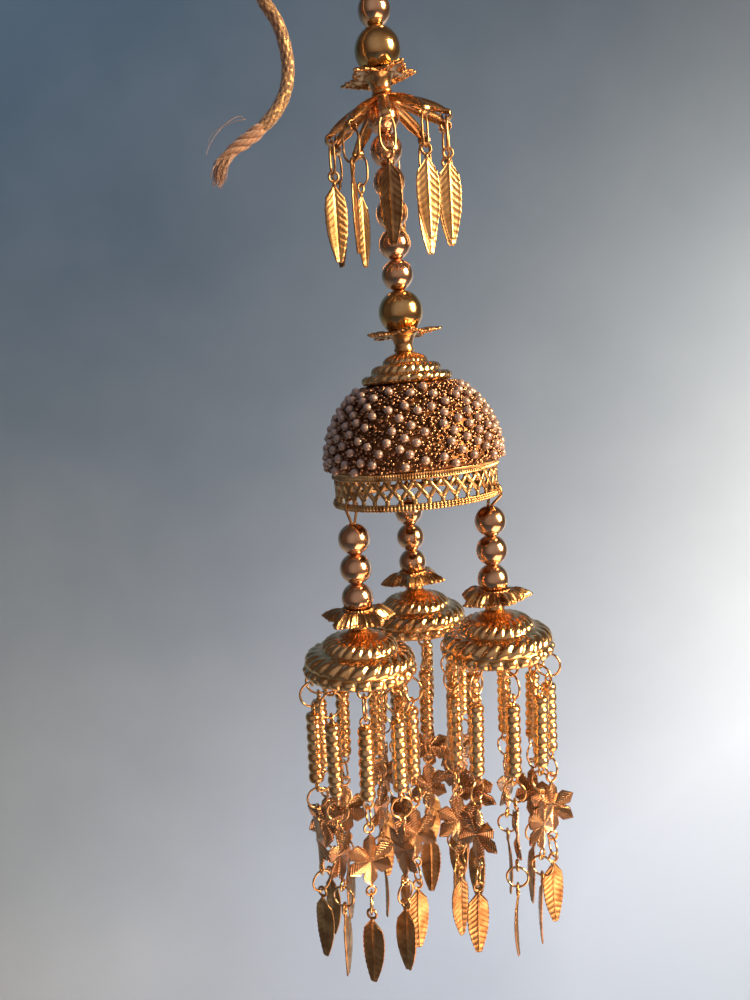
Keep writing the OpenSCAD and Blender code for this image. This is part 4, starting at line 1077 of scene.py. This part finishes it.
bend = np.linspace(0, np.pi / 2, 40)
curve = np.stack([WALL_Y - COVE + COVE * np.cos(bend), FLOOR_Z + COVE - COVE * np.sin(bend)], -1)
profile = np.vstack([[[WALL_Y, WALL_TOP]], curve, [[FLOOR_END, FLOOR_Z]]])
sides = np.array([[-ROOM_HALF, ROOM_HALF]])
grid = np.stack(np.broadcast_arrays(sides, profile[:, :1], profile[:, 1:]), -1)
room = bpy.data.meshes.new("room")
quads = [[2 * i, 2 * i + 1, 2 * i + 3, 2 * i + 2] for i in range(len(profile) - 1)]
room.from_pydata(grid.reshape(-1, 3).tolist(), [], quads)
room.polygons.foreach_set("use_smooth", np.ones(len(quads), bool))
room.materials.append(plaster())
wall_object = bpy.data.objects.new("room", room)
bpy.context.collection.objects.link(wall_object)


def soft_light(name, place, target, size, power, colour, spread=180, mirrored=False):
    """A flat lamp of a width and height, turned to its target, which the camera doesn't see.
    One that is only there for the wall isn't mirrored in the metal either."""
    data = bpy.data.lights.new(name, "AREA")
    data.shape, data.size, data.size_y = "RECTANGLE", *size
    data.energy, data.color, data.spread = power, linear(colour)[:3], np.radians(spread)
    made = bpy.data.objects.new(name, data)
    back = unit(np.subtract(place, target))
    side = unit(np.cross([0, 0.01, 1], back))
    made.matrix_world = stood(side, np.cross(back, side), back, place)
    made.visible_camera, made.visible_glossy = False, mirrored
    bpy.context.collection.objects.link(made)


# The window and the warm floor show in the metal, and the other three are for the wall. Their
# places and sizes are in metres.
soft_light("tall_window", (0.88, -0.43, 0.05), (0, 0, -0.35), (0.36, 0.66), 4.2, "#FFDAA6", 52, True)
soft_light("warm_floor", (0.35, -0.35, -0.8), (0, 0, -0.2), (0.7, 0.5), 5.5, "#FFC090", mirrored=True)
soft_light("sky_on_wall", (-0.6, 0.1, 0.9), (0.1, WALL_Y, -0.3), (0.8, 0.5), 9, "#BFD4F2")
soft_light("day_on_wall", (0.98, 0.4, -0.35), (0.62, WALL_Y, -0.4), (0.4, 0.9), 4.2, "#F6F1E8", 130)
soft_light("sky_on_floor", (0.1, 0.25, -0.95), (0.15, WALL_Y, -0.55), (1.4, 0.3), 3.8, "#BFD4F2")
# The dim room itself: pale and warm behind the camera, brown-grey round it, and warm brown below.
world = bpy.data.worlds.new("room_light")
world.use_nodes = True
way = add(world, "TexCoord", out="Generated")
ahead = add(world, "VectorMath", {0: way, 1: (0.1, -0.98, 0.15)}, operation="DOT_PRODUCT")
span = {"From Min": 0.3, "From Max": 0.98}
in_front = add(world, "MapRange", {"Value": ahead} | span, interpolation_type="SMOOTHSTEP")
downward = add(world, "VectorMath", {0: way, 1: (0.2, -0.2, -0.95)}, operation="DOT_PRODUCT")
span = {"From Min": 0.1, "From Max": 0.9}
below = add(world, "MapRange", {"Value": downward} | span, interpolation_type="SMOOTHSTEP")
walls = add(world, "Mix", {"Factor": in_front, "A": "#6E5A50", "B": "#D2BCB0"}, data_type="RGBA")
whole_room = add(world, "Mix", {"Factor": below, "A": walls, "B": "#A3683C"}, data_type="RGBA")
backdrop = world.node_tree.nodes["Background"]
backdrop.inputs["Strength"].default_value = 0.55
world.node_tree.links.new(whole_room, backdrop.inputs["Color"])
bpy.context.scene.world = world
bpy.context.scene.view_settings.view_transform = "Standard"
